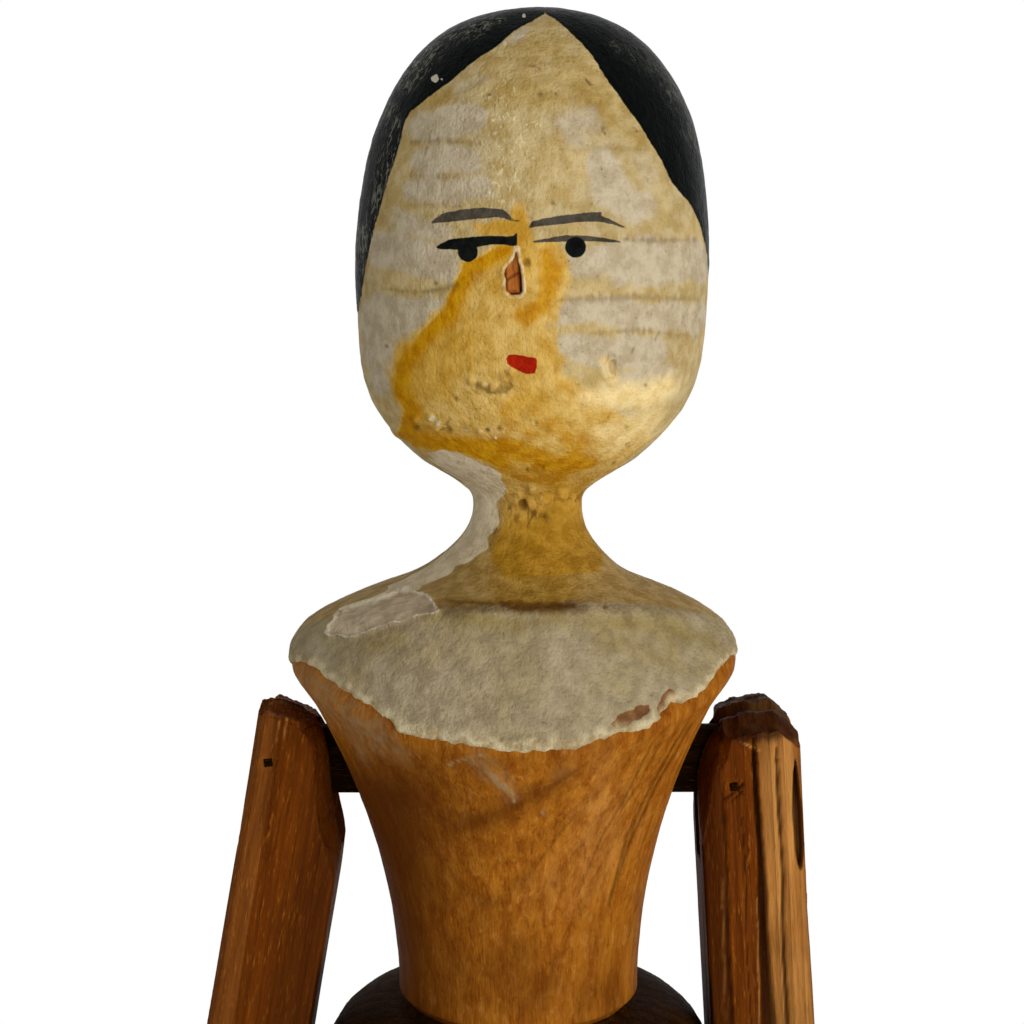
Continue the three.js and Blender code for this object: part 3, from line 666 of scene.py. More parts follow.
# Rubbed grey places on the hair, partly painted sheen
SCUFFS_AND_SHEEN = (
    ((392, 108, 5), (396, 140, 9), (384, 180, 7)), ((406, 86, 7), (424, 64, 9), (440, 48, 6)),
    ((452, 38, 6), (474, 30, 6), (500, 20, 3)), ((652, 66, 5), (676, 104, 6), (692, 150, 4)),
    ((612, 44, 4), (640, 60, 5)), ((366, 230, 5), (362, 270, 4)), ((380, 190, 4), (370, 236, 5)),
)
# Fine cracks and ticks in the paint
CRACKS = (
    ((601, 127, 0.9), (605, 135, 1)), ((552, 198, 0.7), (552.5, 207, 0.7)),
    ((581.5, 491.5, 1), (573, 499.5, 1.3)), ((433, 128, 0), (424, 160, 0.15), (413, 212, 0)),
    ((659.5, 331, 0.5), (655, 340, 0.8)), ((634, 347, 0.5), (631, 352, 0.8)),
    ((528, 508, 1), (528, 522, 0.6)), ((534, 512, 1.2), (526, 528, 0.6)), ((450, 418, 1), (444, 428, 2)),
    ((610, 412, 0.6), (607, 417, 0.8)), ((550, 91, 0.8), (556, 94, 1.2)), ((530, 66, 1), (540, 68, 1)),
    ((505, 371, 1), (509, 378, 1.5), (511, 386, 2), (506, 391, 1.6)),
    ((478, 384, 0.8), (486, 390, 1.1), (498, 391.5, 1)), ((484, 98, 0.8), (492, 93, 1)),
    ((586, 80, 1.6), (590, 84, 1.6)), ((436.5, 218, 0.4), (444, 213, 0.4)),
)
# Dots where the pale ground shows, the big one on the hair and those on the jaw's ledge also painted
# highlights
FLECKS = (
    (436, 79.5, 4), (443, 80.5, 1.6), (524, 17, 1.8), (418, 66, 1), (458, 37, 1.2), (505, 44, 2),
    (434, 417, 2.2), (440, 421, 2), (446, 426, 1.4), (467, 428, 1.4), (496, 437, 1.4), (397, 736, 3),
    (391, 729, 1.6),
)
HAIR_PARTING = 545
# The hair's lower line at each side and at the nape, in mm, and how late it falls between them
HAIR_SIDE_RIGHT = 274.3
HAIR_SIDE_LEFT = 278.2
HAIR_NAPE = 259
HAIR_BEHIND = 4
# The share of the front in the skin, by how far it faces forwards
FRONT_FADE = (0.05, 0.2)
# How far a drawn shape's depth is kept, in pixels, and the depth given to what faces away
EDGE_REACH = 20
HAIR_REACH = 40
FACING_AWAY = -50


def hair_depth(spots, angle, height):
    """How deep each point lies inside the black hair, in pixels of the photograph; negative outside."""
    front = np.maximum(patch(spots, HAIR_RIGHT), patch(spots, HAIR_LEFT))
    side = np.where(np.sin(angle) < 0, HAIR_SIDE_RIGHT, HAIR_SIDE_LEFT)
    line = HAIR_NAPE + (side - HAIR_NAPE) * np.abs(np.sin(angle)) ** HAIR_BEHIND
    behind = (height - line) / (CAMERA_DISTANCE / FOCAL)
    share = smooth(-SILHOUETTE_FADE, SILHOUETTE_FADE, np.cos(angle))
    return share * front + (1 - share) * behind


def wash(spots, strokes, cloud):
    """The strongest of several soft washes at each point, from 0 to 1, with cloudy edges."""
    found = np.zeros(len(spots))
    for points, strength, edge in strokes:
        found = np.maximum(found, strength * smooth(-edge, edge, stroke(spots, points) + cloud * edge))
    return found


# The noise that frays an edge, alike in the relief and in the colours: its lumps in mm, and its seed
PIT_EDGE = (0.4, 52)
FLAKE_EDGE = (0.8, 53)
CHIP_EDGE = (0.6, 55)
SMEAR_EDGE = (0.5, 66)
# How soft the edges of fine lines and of fine cuts are, in the photograph's pixels
LINE_EDGE = (-0.8, 0.8)
CUT_EDGE = (-0.8, 0.6)
# Heights and depths of the paint's relief, in mm
RELIEF = {
    "mound": 0.42, "nose_rim": 0.22, "hole": 1.2, "pit": 0.07, "scar": 0.3, "scar_floor": 0.1,
    "ledge": 0.22, "crack": 0.12, "flake_rim": 0.34, "flake": 0.46, "flake_fibre": 0.06, "chip": 0.25,
    "hair": 0.05, "swell": 0.08, "streaks": 0.02, "fine": 0.024, "fine_grit": 0.04, "fine_chest": 0.02,
    "fine_lip": 0.05,
}


def scar_ring(spots):
    """How far out each spot lies from the scar's middle, 1 on its ring."""
    column, row, width, height = SCAR
    return np.hypot((spots[:, 0] - column) / width, (spots[:, 1] - row) / height)


def nose_relief(spots, flat):
    """The nose's low mound, its chipped rim and the hole for the wedge, in mm."""
    column, row, width, height = NOSE_MOUND
    mound = np.exp(-(((spots[:, 0] - column) / width) ** 2 + ((spots[:, 1] - row) / height) ** 2))
    hole = patch(spots, NOSE_HOLE)
    ragged = 0.6 + 0.5 * noise(flat, 0.7, 51)
    rim = np.exp(-((hole + NOSE_RIM_OUT) / NOSE_RIM_WIDE) ** 2) * ragged
    rim *= smooth(*NOSE_RIM_FADE, spots[:, 1])
    return RELIEF["mound"] * mound + RELIEF["nose_rim"] * rim - RELIEF["hole"] * smooth(-0.8, 1.6, hole)


def dots_relief(spots, flat):
    """Pits, blisters, lumps and the round scar, in mm."""
    relief = np.zeros(len(spots))
    ragged = noise(flat, *PIT_EDGE)
    for column, row, radius in PITS:
        relief -= RELIEF["pit"] * radius * smooth(-1, 1.2, spot(spots, column, row, radius) + ragged)
    for column, row, radius, height in BLISTERS:
        relief += height * smooth(-0.2, 0.8, spot(spots, column, row, radius) / radius)
    rough = np.abs(layered(flat, 1.7, 62, 3))
    for points, height in LUMPS:
        relief += height * smooth(-4, 4, stroke(spots, points)) * rough
    ring = scar_ring(spots)
    relief += RELIEF["scar"] * np.exp(-((ring - 1) / 0.25) ** 2)
    return relief - RELIEF["scar_floor"] * smooth(1, 0.6, ring)


def broken_relief(spots, flat):
    """The ledge of the jaw, cracks, the lifted flake and chips, in mm."""
    relief = RELIEF["ledge"] * smooth(-4, 3, stroke(spots, JAW_LEDGE))
    relief -= RELIEF["crack"] * smooth(*LINE_EDGE, deepest(spots, CRACKS))
    flake = patch(spots, FLAKE) + 2 * noise(flat, *FLAKE_EDGE)
    relief += RELIEF["flake_rim"] * smooth(-4, -0.4, flake) - RELIEF["flake"] * smooth(-0.6, 0.8, flake)
    relief += RELIEF["flake_fibre"] * smooth(0, 1, flake) * noise(flat * (0.4, 1, 1), 0.6, 54)
    ragged = noise(flat, *CHIP_EDGE)
    for corners in CHIPS:
        relief -= RELIEF["chip"] * smooth(-1, 1.5, patch(spots, corners) + ragged)
    return relief


def coat_depth(flat, shares, lens, grit):
    """How far the paint stands out from the wood, rolled under at its ragged lip, in mm."""
    lip = smooth(*LIP_SWELL, shares)
    depth = COAT_THICKNESS + (LIP_THICKNESS - COAT_THICKNESS) * lip * (0.75 + 0.35 * noise(flat, 2.2, 31))
    over = np.clip((shares - LIP_TURN) / (1 - LIP_TURN), 0, 1)
    depth = (depth + LIP_DIVE) * np.sqrt(np.maximum(1 - over**2, 0)) - LIP_DIVE
    fine = RELIEF["fine"] + RELIEF["fine_grit"] * grit + RELIEF["fine_chest"] * lens
    fine += RELIEF["fine_lip"] * lip
    lumps = RELIEF["swell"] * layered(flat, 7, 41, 3) + fine * layered(flat, 0.8, 45, 2)
    lumps += RELIEF["streaks"] * layered(flat * (1, 1, 1.8), 1.8, 47, 2)
    return depth + lumps * (1 - over)


def drawn_marks(spots, flat, facing):
    """How deep each point lies inside what is painted on or broken off the front; negative outside."""
    flake = patch(spots, FLAKE)
    chips = np.maximum.reduce([patch(spots, corners) for corners in CHIPS])
    found = {
        "brow": np.maximum(patch(spots, BROW_RIGHT), patch(spots, BROW_LEFT)),
        "black": np.maximum.reduce([patch(spots, LID_RIGHT)] + [spot(spots, *p) for p in PUPILS]),
        "lid": stroke(spots, LID_LEFT),
        "mouth": patch(spots, MOUTH),
        "bare": patch(spots, NOSE_HOLE),
        "chip": chips + 2 * noise(flat, *CHIP_EDGE),
        "chalk": np.maximum(patch(spots, STREAK) + 4 * noise(flat, 1.2, 58), flake),
        "flake": flake + 2 * noise(flat, *FLAKE_EDGE),
        "fleck": np.maximum.reduce([spot(spots, *f) for f in FLECKS]) + noise(flat, 0.3, 60),
    }
    away = np.where(facing > 0.5, 0, FACING_AWAY)
    return {name: np.clip(depth, -EDGE_REACH, EDGE_REACH) + away for name, depth in found.items()}


def dirt(spots, flat):
    """How dark the bands, pits, cracks and the scar are at each point, from 0 to 1."""
    found = 0.6 * smooth(1.1, 0.7, scar_ring(spots))
    ticks = 3.5 * layered(flat, (0.3, 0.8, 1.1), 57, 2)
    for points, strength in BANDS:
        found = np.maximum(found, strength * smooth(-3, 3, stroke(spots, points) - 1.5 + ticks))
    ragged = noise(flat, *PIT_EDGE)
    for column, row, radius in PITS:
        found = np.maximum(found, smooth(-1.5, 1.5, spot(spots, column, row, radius) + ragged))
    return np.maximum(found, smooth(-0.7, 0.9, deepest(spots, CRACKS) + 0.7 * noise(flat, 0.4, 74)))


def wash_marks(spots, flat, facing):
    """How strongly each colour lies over each point of the front, from 0 to 1."""
    cloud = 0.6 * layered(flat, 2.4, 56, 4)
    stain = patch(spots, STAIN) + 2.5 * cloud - STAIN_SHRINK * smooth(*STAIN_FADE, spots[:, 1])
    tide = np.exp(-((stain - TIDE_INSIDE) / TIDE) ** 2) * smooth(-12, 12, patch(spots, TIDE_LEFT))
    rubbed = smooth(-6, 5, deepest(spots, SCUFFS_AND_SHEEN))
    found = {
        "amber": np.maximum(wash(spots, AMBER, cloud), (0.5 + 0.5 * tide) * smooth(-3, 4, stain)),
        "painted_highlight": wash(spots, JAW_AND_CHEEK_HIGHLIGHTS, cloud),
        "crease": wash(spots, CREASE, 0.8 * layered(flat, 1.2, 59, 3)),
        "olive": wash(spots, OLIVE, cloud),
        "grey": wash(spots, GREY, cloud),
        "dirt": dirt(spots, flat),
        "scuff_and_sheen": rubbed * np.where(spots[:, 0] < HAIR_PARTING, 1, 0.3),
        "middle": smooth(*NECK_FADE, np.abs(spots[:, 0] - NECK_COLUMN) + 12 * layered(flat, 3, 65, 3)),
    }
    return {name: strength * facing for name, strength in found.items()}


def painted_head():
    """The gesso and paint over the head, neck and bust, one closed skin with a thick ragged lip."""
    grid, angle, share = coat_grid()
    flat, out = grid.reshape(-1, 3), grid_normals(grid).reshape(-1, 3)
    angles, shares, heights = angle.ravel(), share.ravel(), flat[:, 2]
    spots = project(flat)
    facing = smooth(*FRONT_FADE, np.cos(angles))
    hair = hair_depth(spots, angles, heights)
    grit = smooth(-18, 10, stroke(spots, GRIT)) * facing
    cut = bust_cut(angles, heights, AXIS_X) < np.hypot(flat[:, 0] - AXIS_X, flat[:, 1]) + CUT_SLACK
    lens = cut.astype(float)

    depth = coat_depth(flat, shares, lens, grit) + RELIEF["hair"] * smooth(-0.5, 1.5, hair)
    for relief in (nose_relief, dots_relief, broken_relief):
        depth += relief(spots, flat) * facing
    placed = (flat + out * depth[:, None]).reshape(grid.shape)
    top = placed[0].mean(axis=0) + (0, 0, CROWN_RISE)
    obj = revolved("painted_head_and_bust", placed, top, (AXIS_X, 0, COAT_CORE))

    marks = {"hair": np.clip(hair, -HAIR_REACH, HAIR_REACH), "lens": lens, "grit": grit}
    marks["lip"] = smooth(*LIP_PALE, shares - 0.016 * noise(flat, 0.9, 70))
    marks["slope"] = smooth(*NECK_SLOPE, heights)
    marks.update(drawn_marks(spots, flat, facing))
    marks.update(wash_marks(spots, flat, facing))
    for name, values in marks.items():
        mark(obj, name, np.concatenate((values, values[:1], values[-1:])))
    mark(obj, "place", mesh_points(obj) - (AXIS_X, 0, 0))
    stands_for(obj, "body")
    return obj


# Turned wood

# The bare torso, in mm: the step of its rows, how deep it lies under the paint, its top, the width of a
# growth ring, the height from which the rings lean, and the length of the rod's bore
TORSO_STEP = 0.3
UNDER_COAT = 0.35
TORSO_TOP = 246
RING_PERIOD = 2.2
RING_LEVEL = 200
BORE_LENGTH = 60
# Its columns as (degrees from the front, step)
TORSO_COLUMNS = ((-180, 1.5), (-95, 0.5), (95, 1.5), (180, 0))
# Relief of the bare wood, in mm
SMEAR_HEIGHT = 0.16
LINE_DEPTH = 0.05
FIBRE_HEIGHT = 0.02
TURNING_HEIGHT = 0.012
SWELL_HEIGHT = 0.05
# Strengths of the marks and of the painted shade on torso, hips and arms, from 0 for none
WEAR_AND_SHADE = {
    "torso_line": 0.55, "torso_shade": 0.95, "torso_back": 0.5, "smear": 1.4, "hip_grime": 0.6,
    "arm_top": 0.85, "arm_inside_shade": 0.9, "arm_patches": 0.35, "arm_side_shade": 0.75, "arm_foot": 0.35,
    "arm_dust": 0.45, "scratch": 1.3,
}
# Scale and drop in mm of the rings that lead into the waist groove
GROOVE_RINGS = ((0.992, 0.12), (0.95, 0.2), (0.94, WAIST_GROOVE + 0.2))
# Washes, lines and smears on the torso's front, in the photograph's pixels
TORSO_ARCS = (
    (((410, 775, 4), (430, 803, 9), (456, 824, 14), (492, 820, 13), (530, 799, 8), (566, 777, 4)),
     0.75, 12),
    (((430, 840, 3), (448, 868, 5), (476, 905, 7), (508, 895, 6), (532, 870, 4)), 0.45, 10),
    (((545, 740, 3), (560, 760, 4), (590, 745, 3)), 0.3, 8),
)
TORSO_LINES = (
    ((534, 868, 0.6), (556, 838, 1.4), (577, 813, 0.8)),
    ((652, 743, 0.8), (626, 796, 1.2), (601, 838, 1.3), (577, 897, 0.8)),
    ((688, 722, 1), (653, 781, 1.6), (626, 838, 1.6), (609, 905, 1)),
    ((692, 724, 0.8), (658, 782, 1.2), (632, 838, 1), (617, 880, 0.8)),
    ((664, 735, 0.8), (640, 782, 1), (620, 812, 0.7)),
)
# The columns over which painted shade darkens the left of the torso, and the rows below which it lies
TORSO_SHADE = (505, 388)
TORSO_SHADE_ROWS = (715, 800)
# A pool of painted light on the right of the torso's front
TORSO_PAINTED_LIGHT = ((((596, 760, 12), (602, 830, 22), (562, 884, 16)), 0.4, 26),)
# Darker washes over the torso's front
TORSO_DARK_WASHES = (
    (((400, 980, 26), (500, 970, 30), (560, 990, 30), (640, 1000, 20)), 0.55, 34),
    (((440, 780, 10), (470, 832, 12), (500, 812, 10)), 0.45, 16),
    (((440, 900, 12), (480, 930, 14), (470, 985, 18)), 0.35, 20),
    (((640, 900, 8), (634, 985, 8)), 0.4, 12),
    (((596, 950, 26), (622, 1004, 26)), 0.3, 30),
    (((380, 742, 14), (420, 762, 14), (480, 770, 12)), 0.35, 16),
)
TORSO_DUST = (
    (((302, 672, 10), (340, 708, 18), (372, 734, 16), (404, 756, 8)), 0.95, 14),
    (((476, 760, 7), (500, 776, 8), (512, 796, 4)), 0.5, 6),
    (((574, 764, 5), (560, 774, 5)), 0.25, 8),
)
SMEAR = (
    ((486, 770, 3), (500, 784, 4), (508, 790, 4), (514, 800, 2)),
    ((444, 767, 0.5), (466, 758, 1.4), (486, 754, 1)), ((541, 812, 0.8), (545, 815, 1.2)),
)


def torso_grid():
    """Points on the bare waist and chest, from under the paint down into the waist groove."""
    first, last = TURNED.distance(TORSO_TOP), TURNED.distance(WAIST_EDGE)
    distance = np.linspace(first, last, round((last - first) / TORSO_STEP))
    angles = np.radians(stepped(TORSO_COLUMNS)[:-1])
    height, radius, centre = (v[:, None] + 0 * angles for v in TURNED.at(distance))
    angle = angles + 0 * height
    under = smooth(0.3, 1.2, height - lip_heights(angles)[None, :])
    true = body_radius(angle, height, radius, centre) - UNDER_COAT * under
    grid = around(angle, true, height, centre)
    flat, turn = grid.reshape(-1, 3), angle.ravel()
    spots = project(flat)
    depth = FIBRE_HEIGHT * layered(flat, (0.5, 0.5, 9), 61, 2)
    depth += TURNING_HEIGHT * noise(flat * (0, 0, 1), (1, 1, 0.5), 63)
    depth += SWELL_HEIGHT * layered(flat, 6, 64, 2)
    smear = smooth(-1, 1, deepest(spots, SMEAR) + noise(flat, *SMEAR_EDGE))
    lines = smooth(-2, 0.5, deepest(spots, TORSO_LINES))
    depth += smooth(0.05, 0.25, np.cos(turn)) * (SMEAR_HEIGHT * smear - LINE_DEPTH * lines)
    out = np.column_stack((np.sin(turn), -np.cos(turn), 0 * turn))
    grid = (flat + out * depth[:, None]).reshape(grid.shape)
    middle = np.array((float(centre[-1, 0]), 0, 0))
    groove = [(grid[-1] - middle) * (k, k, 1) + middle - (0, 0, drop) for k, drop in GROOVE_RINGS]
    return np.concatenate((grid, np.array(groove)))


def torso_marks(obj):
    """Stores the torso's growth rings, lines, washes and painted shade, painted light, and dust."""
    points = mesh_points(obj) - (AXIS_X, 0, 0)
    spots = project(mesh_points(obj))
    front = smooth(0.5, -2, points[:, 1])
    cloud = 0.8 * layered(points, (3, 3, 6), 68, 3)
    across = -points[:, 1] - 0.1 * points[:, 0] + 0.05 * (points[:, 2] - RING_LEVEL)
    wobble = 0.5 * noise(points, 14, 71) + 0.15 * noise(points, (3, 3, 12), 72)
    lines = deepest(spots, TORSO_LINES) + 0.8 * noise(points, 0.8, 67)
    arcs = wash(spots, TORSO_ARCS, 0.5 * layered(points, 1.5, 69, 3))
    # Painted shade over the left of the torso below its dusty top, laid in with the darker washes and the
    # arcs
    shaded = smooth(*TORSO_SHADE, spots[:, 0] + 14 * cloud) * smooth(*TORSO_SHADE_ROWS, spots[:, 1])
    stains = [wash(spots, TORSO_DARK_WASHES, cloud), WEAR_AND_SHADE["torso_shade"] * shaded, arcs]
    stained = np.maximum.reduce(stains) * front
    behind = WEAR_AND_SHADE["torso_back"] * (1 - front) * smooth(-1, 1, cloud)
    smear = WEAR_AND_SHADE["smear"] * smooth(-1, 1, deepest(spots, SMEAR) + noise(points, *SMEAR_EDGE))
    mark(obj, "place", points)
    mark(obj, "rings", (across + wobble) / RING_PERIOD)
    mark(obj, "groove", WEAR_AND_SHADE["torso_line"] * smooth(-0.8, 0.7, lines) * front)
    mark(obj, "grime_and_shade", np.maximum(stained, behind))
    # On the torso, pale wood is only painted light
    mark(obj, "pale", wash(spots, TORSO_PAINTED_LIGHT, cloud) * front)
    mark(obj, "dust", np.maximum(wash(spots, TORSO_DUST, cloud), smear) * front)


def torso_wood():
    """The bare turned waist and chest, with the bore for the shoulder rod."""
    grid = torso_grid()
    obj = revolved("torso_wood", grid, grid[0].mean(axis=0), grid[-1].mean(axis=0))
    bore(obj, (AXIS_X, 0, ROD_HEIGHT), ROD_RADIUS + ROD_CLEARANCE, BORE_LENGTH)
    torso_marks(obj)
    stands_for(obj, "body")
    return obj


def bore(obj, centre, radius, length):
    """Cuts a round hole along X through an object."""
    bpy.ops.mesh.primitive_cylinder_add(vertices=64, radius=radius * MM, depth=length * MM,
                                        location=Vector(centre) * MM, rotation=(0, math.pi / 2, 0))
    cutter = bpy.context.object
    cut = obj.modifiers.new("bore", "BOOLEAN")
    cut.operation = "DIFFERENCE"
    cut.solver = "EXACT"
    cut.object = cutter
    evaluated(obj)
    bpy.data.objects.remove(cutter)


# The hip block's top and face size, and how near a facet a point has to lie to be let out, in mm
HIP_TOP = 199.95
HIP_FACE = 0.4
SNAP = 0.16


def cut_level(work):
    """Cuts the hip block off the body below the waist groove, and closes it."""
    plane = {"plane_co": (0, 0, HIP_TOP * MM), "plane_no": (0, 0, 1)}
    everything = list(work.verts) + list(work.edges) + list(work.faces)
    cut = bmesh.ops.bisect_plane(work, geom=everything, clear_outer=True, **plane)
    edges = [e for e in cut["geom_cut"] if isinstance(e, bmesh.types.BMEdge)]
    bmesh.ops.edgeloop_fill(work, edges=edges)


def rounded_hips(points):
    """Points with those on the hips' turned facets let out to the round that the facets stand for."""
    _, radius, centre = HIPS.at(HIPS.distance(points[:, 2]))
    aside = points[:, :2] - np.column_stack((centre, 0 * centre))
    reach = np.hypot(aside[:, 0], aside[:, 1])
    turn = 2 * math.pi / TURNED_SIDES
    within = np.mod(np.arctan2(aside[:, 1], aside[:, 0]), turn) - turn / 2
    faceted = radius * math.cos(turn / 2) / np.cos(within)
    share = 1 - smooth(SNAP, 2 * SNAP, np.abs(reach - faceted))
    let_out = aside * ((radius / faceted - 1) * share)[:, None]
    return points + np.column_stack((let_out, 0 * reach))


def hip_block():
    """The dark rounded hip block below the waist groove."""
    obj = copied("body", "hip_block")
    edited(obj.data, cut_level)
    even_faces(obj, HIP_FACE)
    points, normals = rounded_hips(mesh_points(obj)), mesh_normals(obj)
    local = points - (AXIS_X, 0, 0)
    depth = SWELL_HEIGHT * (layered(local, 5, 84, 2) - np.abs(layered(local, (0.8, 0.8, 9), 81, 2)))
    move_points(obj, points + normals * depth[:, None])
    mark(obj, "place", local)
    across = -0.97 * local[:, 1] - 0.2 * local[:, 0] + 0.4 * noise(local, 12, 85)
    mark(obj, "rings", across / RING_PERIOD)
    mark(obj, "grime_and_shade", WEAR_AND_SHADE["hip_grime"] * smooth(-0.6, 0.8, layered(local, 5, 86, 3)))
    stands_for(obj, "body")
    return obj


# Whittled limbs, rod, wedge and pegs

def joint_place(name):
    """Where a joint's axis lies, in mm."""
    for joint in frame["joints"]:
        if joint["name"] == name:
            return np.array(joint["pos_m"]) / MM
    raise ValueError(name)


# How far each arm leans from upright, in degrees, and how far its inner side lies from its pin, in mm
ARM_LEAN = {"right": 9.7, "left": -3.6}
ARM_INNER = {"right": 9.1, "left": -3.75}
INWARD = {"right": 1, "left": -1}
ARM_DEPTH = 10.6
FACE_INSET = 0.15
CHEST_CLEARANCE = 0.4


def limb_axes(side):
    """The across, front to back and upward directions of an arm, from its lean away from the body."""
    lean = math.radians(ARM_LEAN[side])
    return np.array(((math.cos(lean), 0, -math.sin(lean)), (0, 1, 0), (math.sin(lean), 0, math.cos(lean))))


def turned_about(points, centre, axis, degrees):
    """Points turned about an axis through a centre, right handed."""
    angle = math.radians(degrees)
    axis = np.asarray(axis, float) / np.linalg.norm(axis)
    away = points - centre
    return (centre + away * math.cos(angle) + np.cross(axis, away) * math.sin(angle)
            + np.outer(away @ axis, axis) * (1 - math.cos(angle)))


def chest_gap(points):
    """How far points lie outside the turned chest, in mm; negative inside."""
    _, radius, centre = TURNED.at(TURNED.distance(points[:, 2]))
    return np.hypot(points[:, 0] - centre, points[:, 1]) - radius


# The grid over an arm's inner side, in the arm's own mm, on which its free room is found and evened out,
# and how many steps of each movement are tried for it
ROOM_DEPTHS = np.linspace(-5.6, 5.6, 15)
ROOM_HEIGHTS = np.linspace(-26, 8, 35)
ROOM_STEP = 0.15
RAY_START = 14
ROOM_START = {"right": 3.0, "left": 1.0}
ROOM_PASSES = 3
SWING_STEPS = 21
LIFT_STEPS = 7


def packed_reach(side, obj):
    """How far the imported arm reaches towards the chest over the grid, in mm from its pin."""
    inward, axes, pin = INWARD[side], limb_axes(side), joint_place(side + "_arm_lift")
    tree = BVHTree.FromPolygons([v.co for v in obj.data.vertices], [p.vertices for p in obj.data.polygons])
    reach = np.full((len(ROOM_DEPTHS), len(ROOM_HEIGHTS)), np.nan)
    edge = ARM_DEPTH / 2 - FACE_INSET
    for row, depth in enumerate(np.clip(ROOM_DEPTHS, -edge, edge)):
        for column, height in enumerate(ROOM_HEIGHTS):
            start = pin + axes.T @ (inward * RAY_START, depth, height)
            _, _, _, away = tree.ray_cast(Vector(start) * MM, Vector(axes[0] * -inward))
            if away is not None and RAY_START - away / MM > ROOM_START[side]:
                reach[row, column] = RAY_START - away / MM
    return reach


def chest_room(side, local):
    """The least gap between points of an arm and the chest wherever the arm swings and lifts, in mm."""
    swing = next(j for j in frame["joints"] if j["name"] == "shoulder_swing")
    lift = next(j for j in frame["joints"] if j["name"] == side + "_arm_lift")
    pin = joint_place(side + "_arm_lift")
    placed = pin + local @ limb_axes(side)
    room = np.full(len(local), np.inf)
    for raised in np.linspace(*lift["range_deg"], LIFT_STEPS):
        lifted = turned_about(placed, pin, lift["axis"], raised)
        for swung in np.linspace(*swing["range_deg"], SWING_STEPS):
            swept = turned_about(lifted, np.array(swing["pos_m"]) / MM, swing["axis"], swung)
            room = np.minimum(room, chest_gap(swept))
    return room


def free_reach(side):
    """How far an arm may reach from its pin over the grid and clear the chest wherever it moves."""
    depth, height = np.meshgrid(ROOM_DEPTHS, ROOM_HEIGHTS, indexing="ij")
    free, blocked = ROOM_START[side] + 0 * depth, np.zeros(depth.shape, bool)
    for tried in np.arange(ROOM_START[side], abs(ARM_INNER[side]), ROOM_STEP):
        local = np.stack((INWARD[side] * tried + 0 * depth, depth, height), axis=-1).reshape(-1, 3)
        blocked |= chest_room(side, local).reshape(depth.shape) < CHEST_CLEARANCE
        free = np.where(blocked, free, tried)
    return free


def on_grid(values, local):
    """Values of the arm's grid, read between its points."""
    row = np.interp(local[:, 1], ROOM_DEPTHS, np.arange(len(ROOM_DEPTHS)))
    column = np.interp(local[:, 2], ROOM_HEIGHTS, np.arange(len(ROOM_HEIGHTS)))
    low_row = np.minimum(row.astype(int), len(ROOM_DEPTHS) - 2)
    low_column = np.minimum(column.astype(int), len(ROOM_HEIGHTS) - 2)
    down, across = row - low_row, column - low_column
    return ((1 - down) * (1 - across) * values[low_row, low_column]
            + down * (1 - across) * values[low_row + 1, low_column]
            + (1 - down) * across * values[low_row, low_column + 1]
            + down * across * values[low_row + 1, low_column + 1])


def inner_side(side, obj, local):
    """Each point's place across, its pared inner side let out as far as the chest leaves room."""
    reach, free, start = packed_reach(side, obj), free_reach(side), ROOM_START[side]
    limit = np.fmax(reach, free)
    ratio = np.nan_to_num((limit - start) / (reach - start), nan=1)
    for _ in range(ROOM_PASSES):
        padded = np.pad(ratio, ((0, 0), (1, 1)), mode="edge")
        ratio = (padded[:, :-2] + 2 * padded[:, 1:-1] + padded[:, 2:]) / 4
    across = local[:, 0] * INWARD[side]
    let_out = start + (across - start) * on_grid(ratio, local)
    raised = smooth(1, 2.5, local[:, 2])
    cap = raised * on_grid(free, local) + (1 - raised) * on_grid(limit, local)
    kept = np.minimum(let_out, np.nan_to_num(cap, nan=FAR))
    return np.where(across > start, INWARD[side] * kept, local[:, 0])


# Grooves down the front of each arm, in the arm's own mm from its pin: place across at the pin and at the
# elbow, half width at either, depth, and how far they run down and up
ARM_GROOVES = {
    "left": ((-1.35, -1.7, 0.2, 0.26, 0.28, -60, 9), (2.25, 2.5, 0.3, 1.25, 0.75, -60, 5.5),
             (4.6, 4.3, 0.22, 0.35, 0.3, -60, 4.5), (6.6, 6.2, 0.4, 3.1, 1.5, -9.6, 2.6),
             (0.6, 0.5, 0.1, 0.12, 0.08, -30, -3)),
    "right": ((0.9, 0.6, 0.2, 0.25, 0.12, -60, 9), (5.2, 4.9, 0.12, 0.16, 0.08, -40, 2),
              (7.7, 6.9, 0.12, 0.12, 0.1, -60, 4)),
}
# How far a groove wavers aside and over how many mm it tapers, how uneven its width is, and how dark it is
GROOVE_BEND = 0.18
GROOVE_TAPER = 3.5
GROOVE_UNEVEN = 0.3
GROOVE_DARK = {"left": 1.0, "right": 0.35}
# Sizes of an arm, the depth of its cuts, the lean and width of its inner strip, and the roughness and the
# front edge of its top, in mm
ARM_LENGTH = 48
ARM_WIDE = 8
CUT_DEPTH = 0.3
STRIP_SLOPE = 0.3
STRIP_WIDTH = 3
TOP_ROUGHNESS = 0.22
TOP_FRONT = (-2.6, -5.2)
# The noise of the broken tops, alike in shape and colour: lumps in mm, seed and layers
BROKEN_GRAIN = ((1.1, 1.1, 1.6), 92, 3)
# The heights from and at which the top is raised, in mm, and the shares of its rise tried in turn
TOP_START = 1.5
TOP_FULL = 5.5
TOP_SHARES = (1, 0.8, 0.6, 0.4, 0.2)
# The radius of the plug that closes a tine's bore, and where a tine's inner face lies, in mm
BORE_FILL = 1.3
TINE_INNER = 2.1
UPRIGHT = np.identity(3)
# How far the top of the front tine rises at its outer and inner edge, how far the back one does, how far
# the front's top edge is broken off, and from which height the top is dark, in mm
ARM_TOPS = {"right": (1.8, 2.4, -0.7, 0.2, 5.6), "left": (-0.1, -0.1, 0, 1.7, 4.6)}
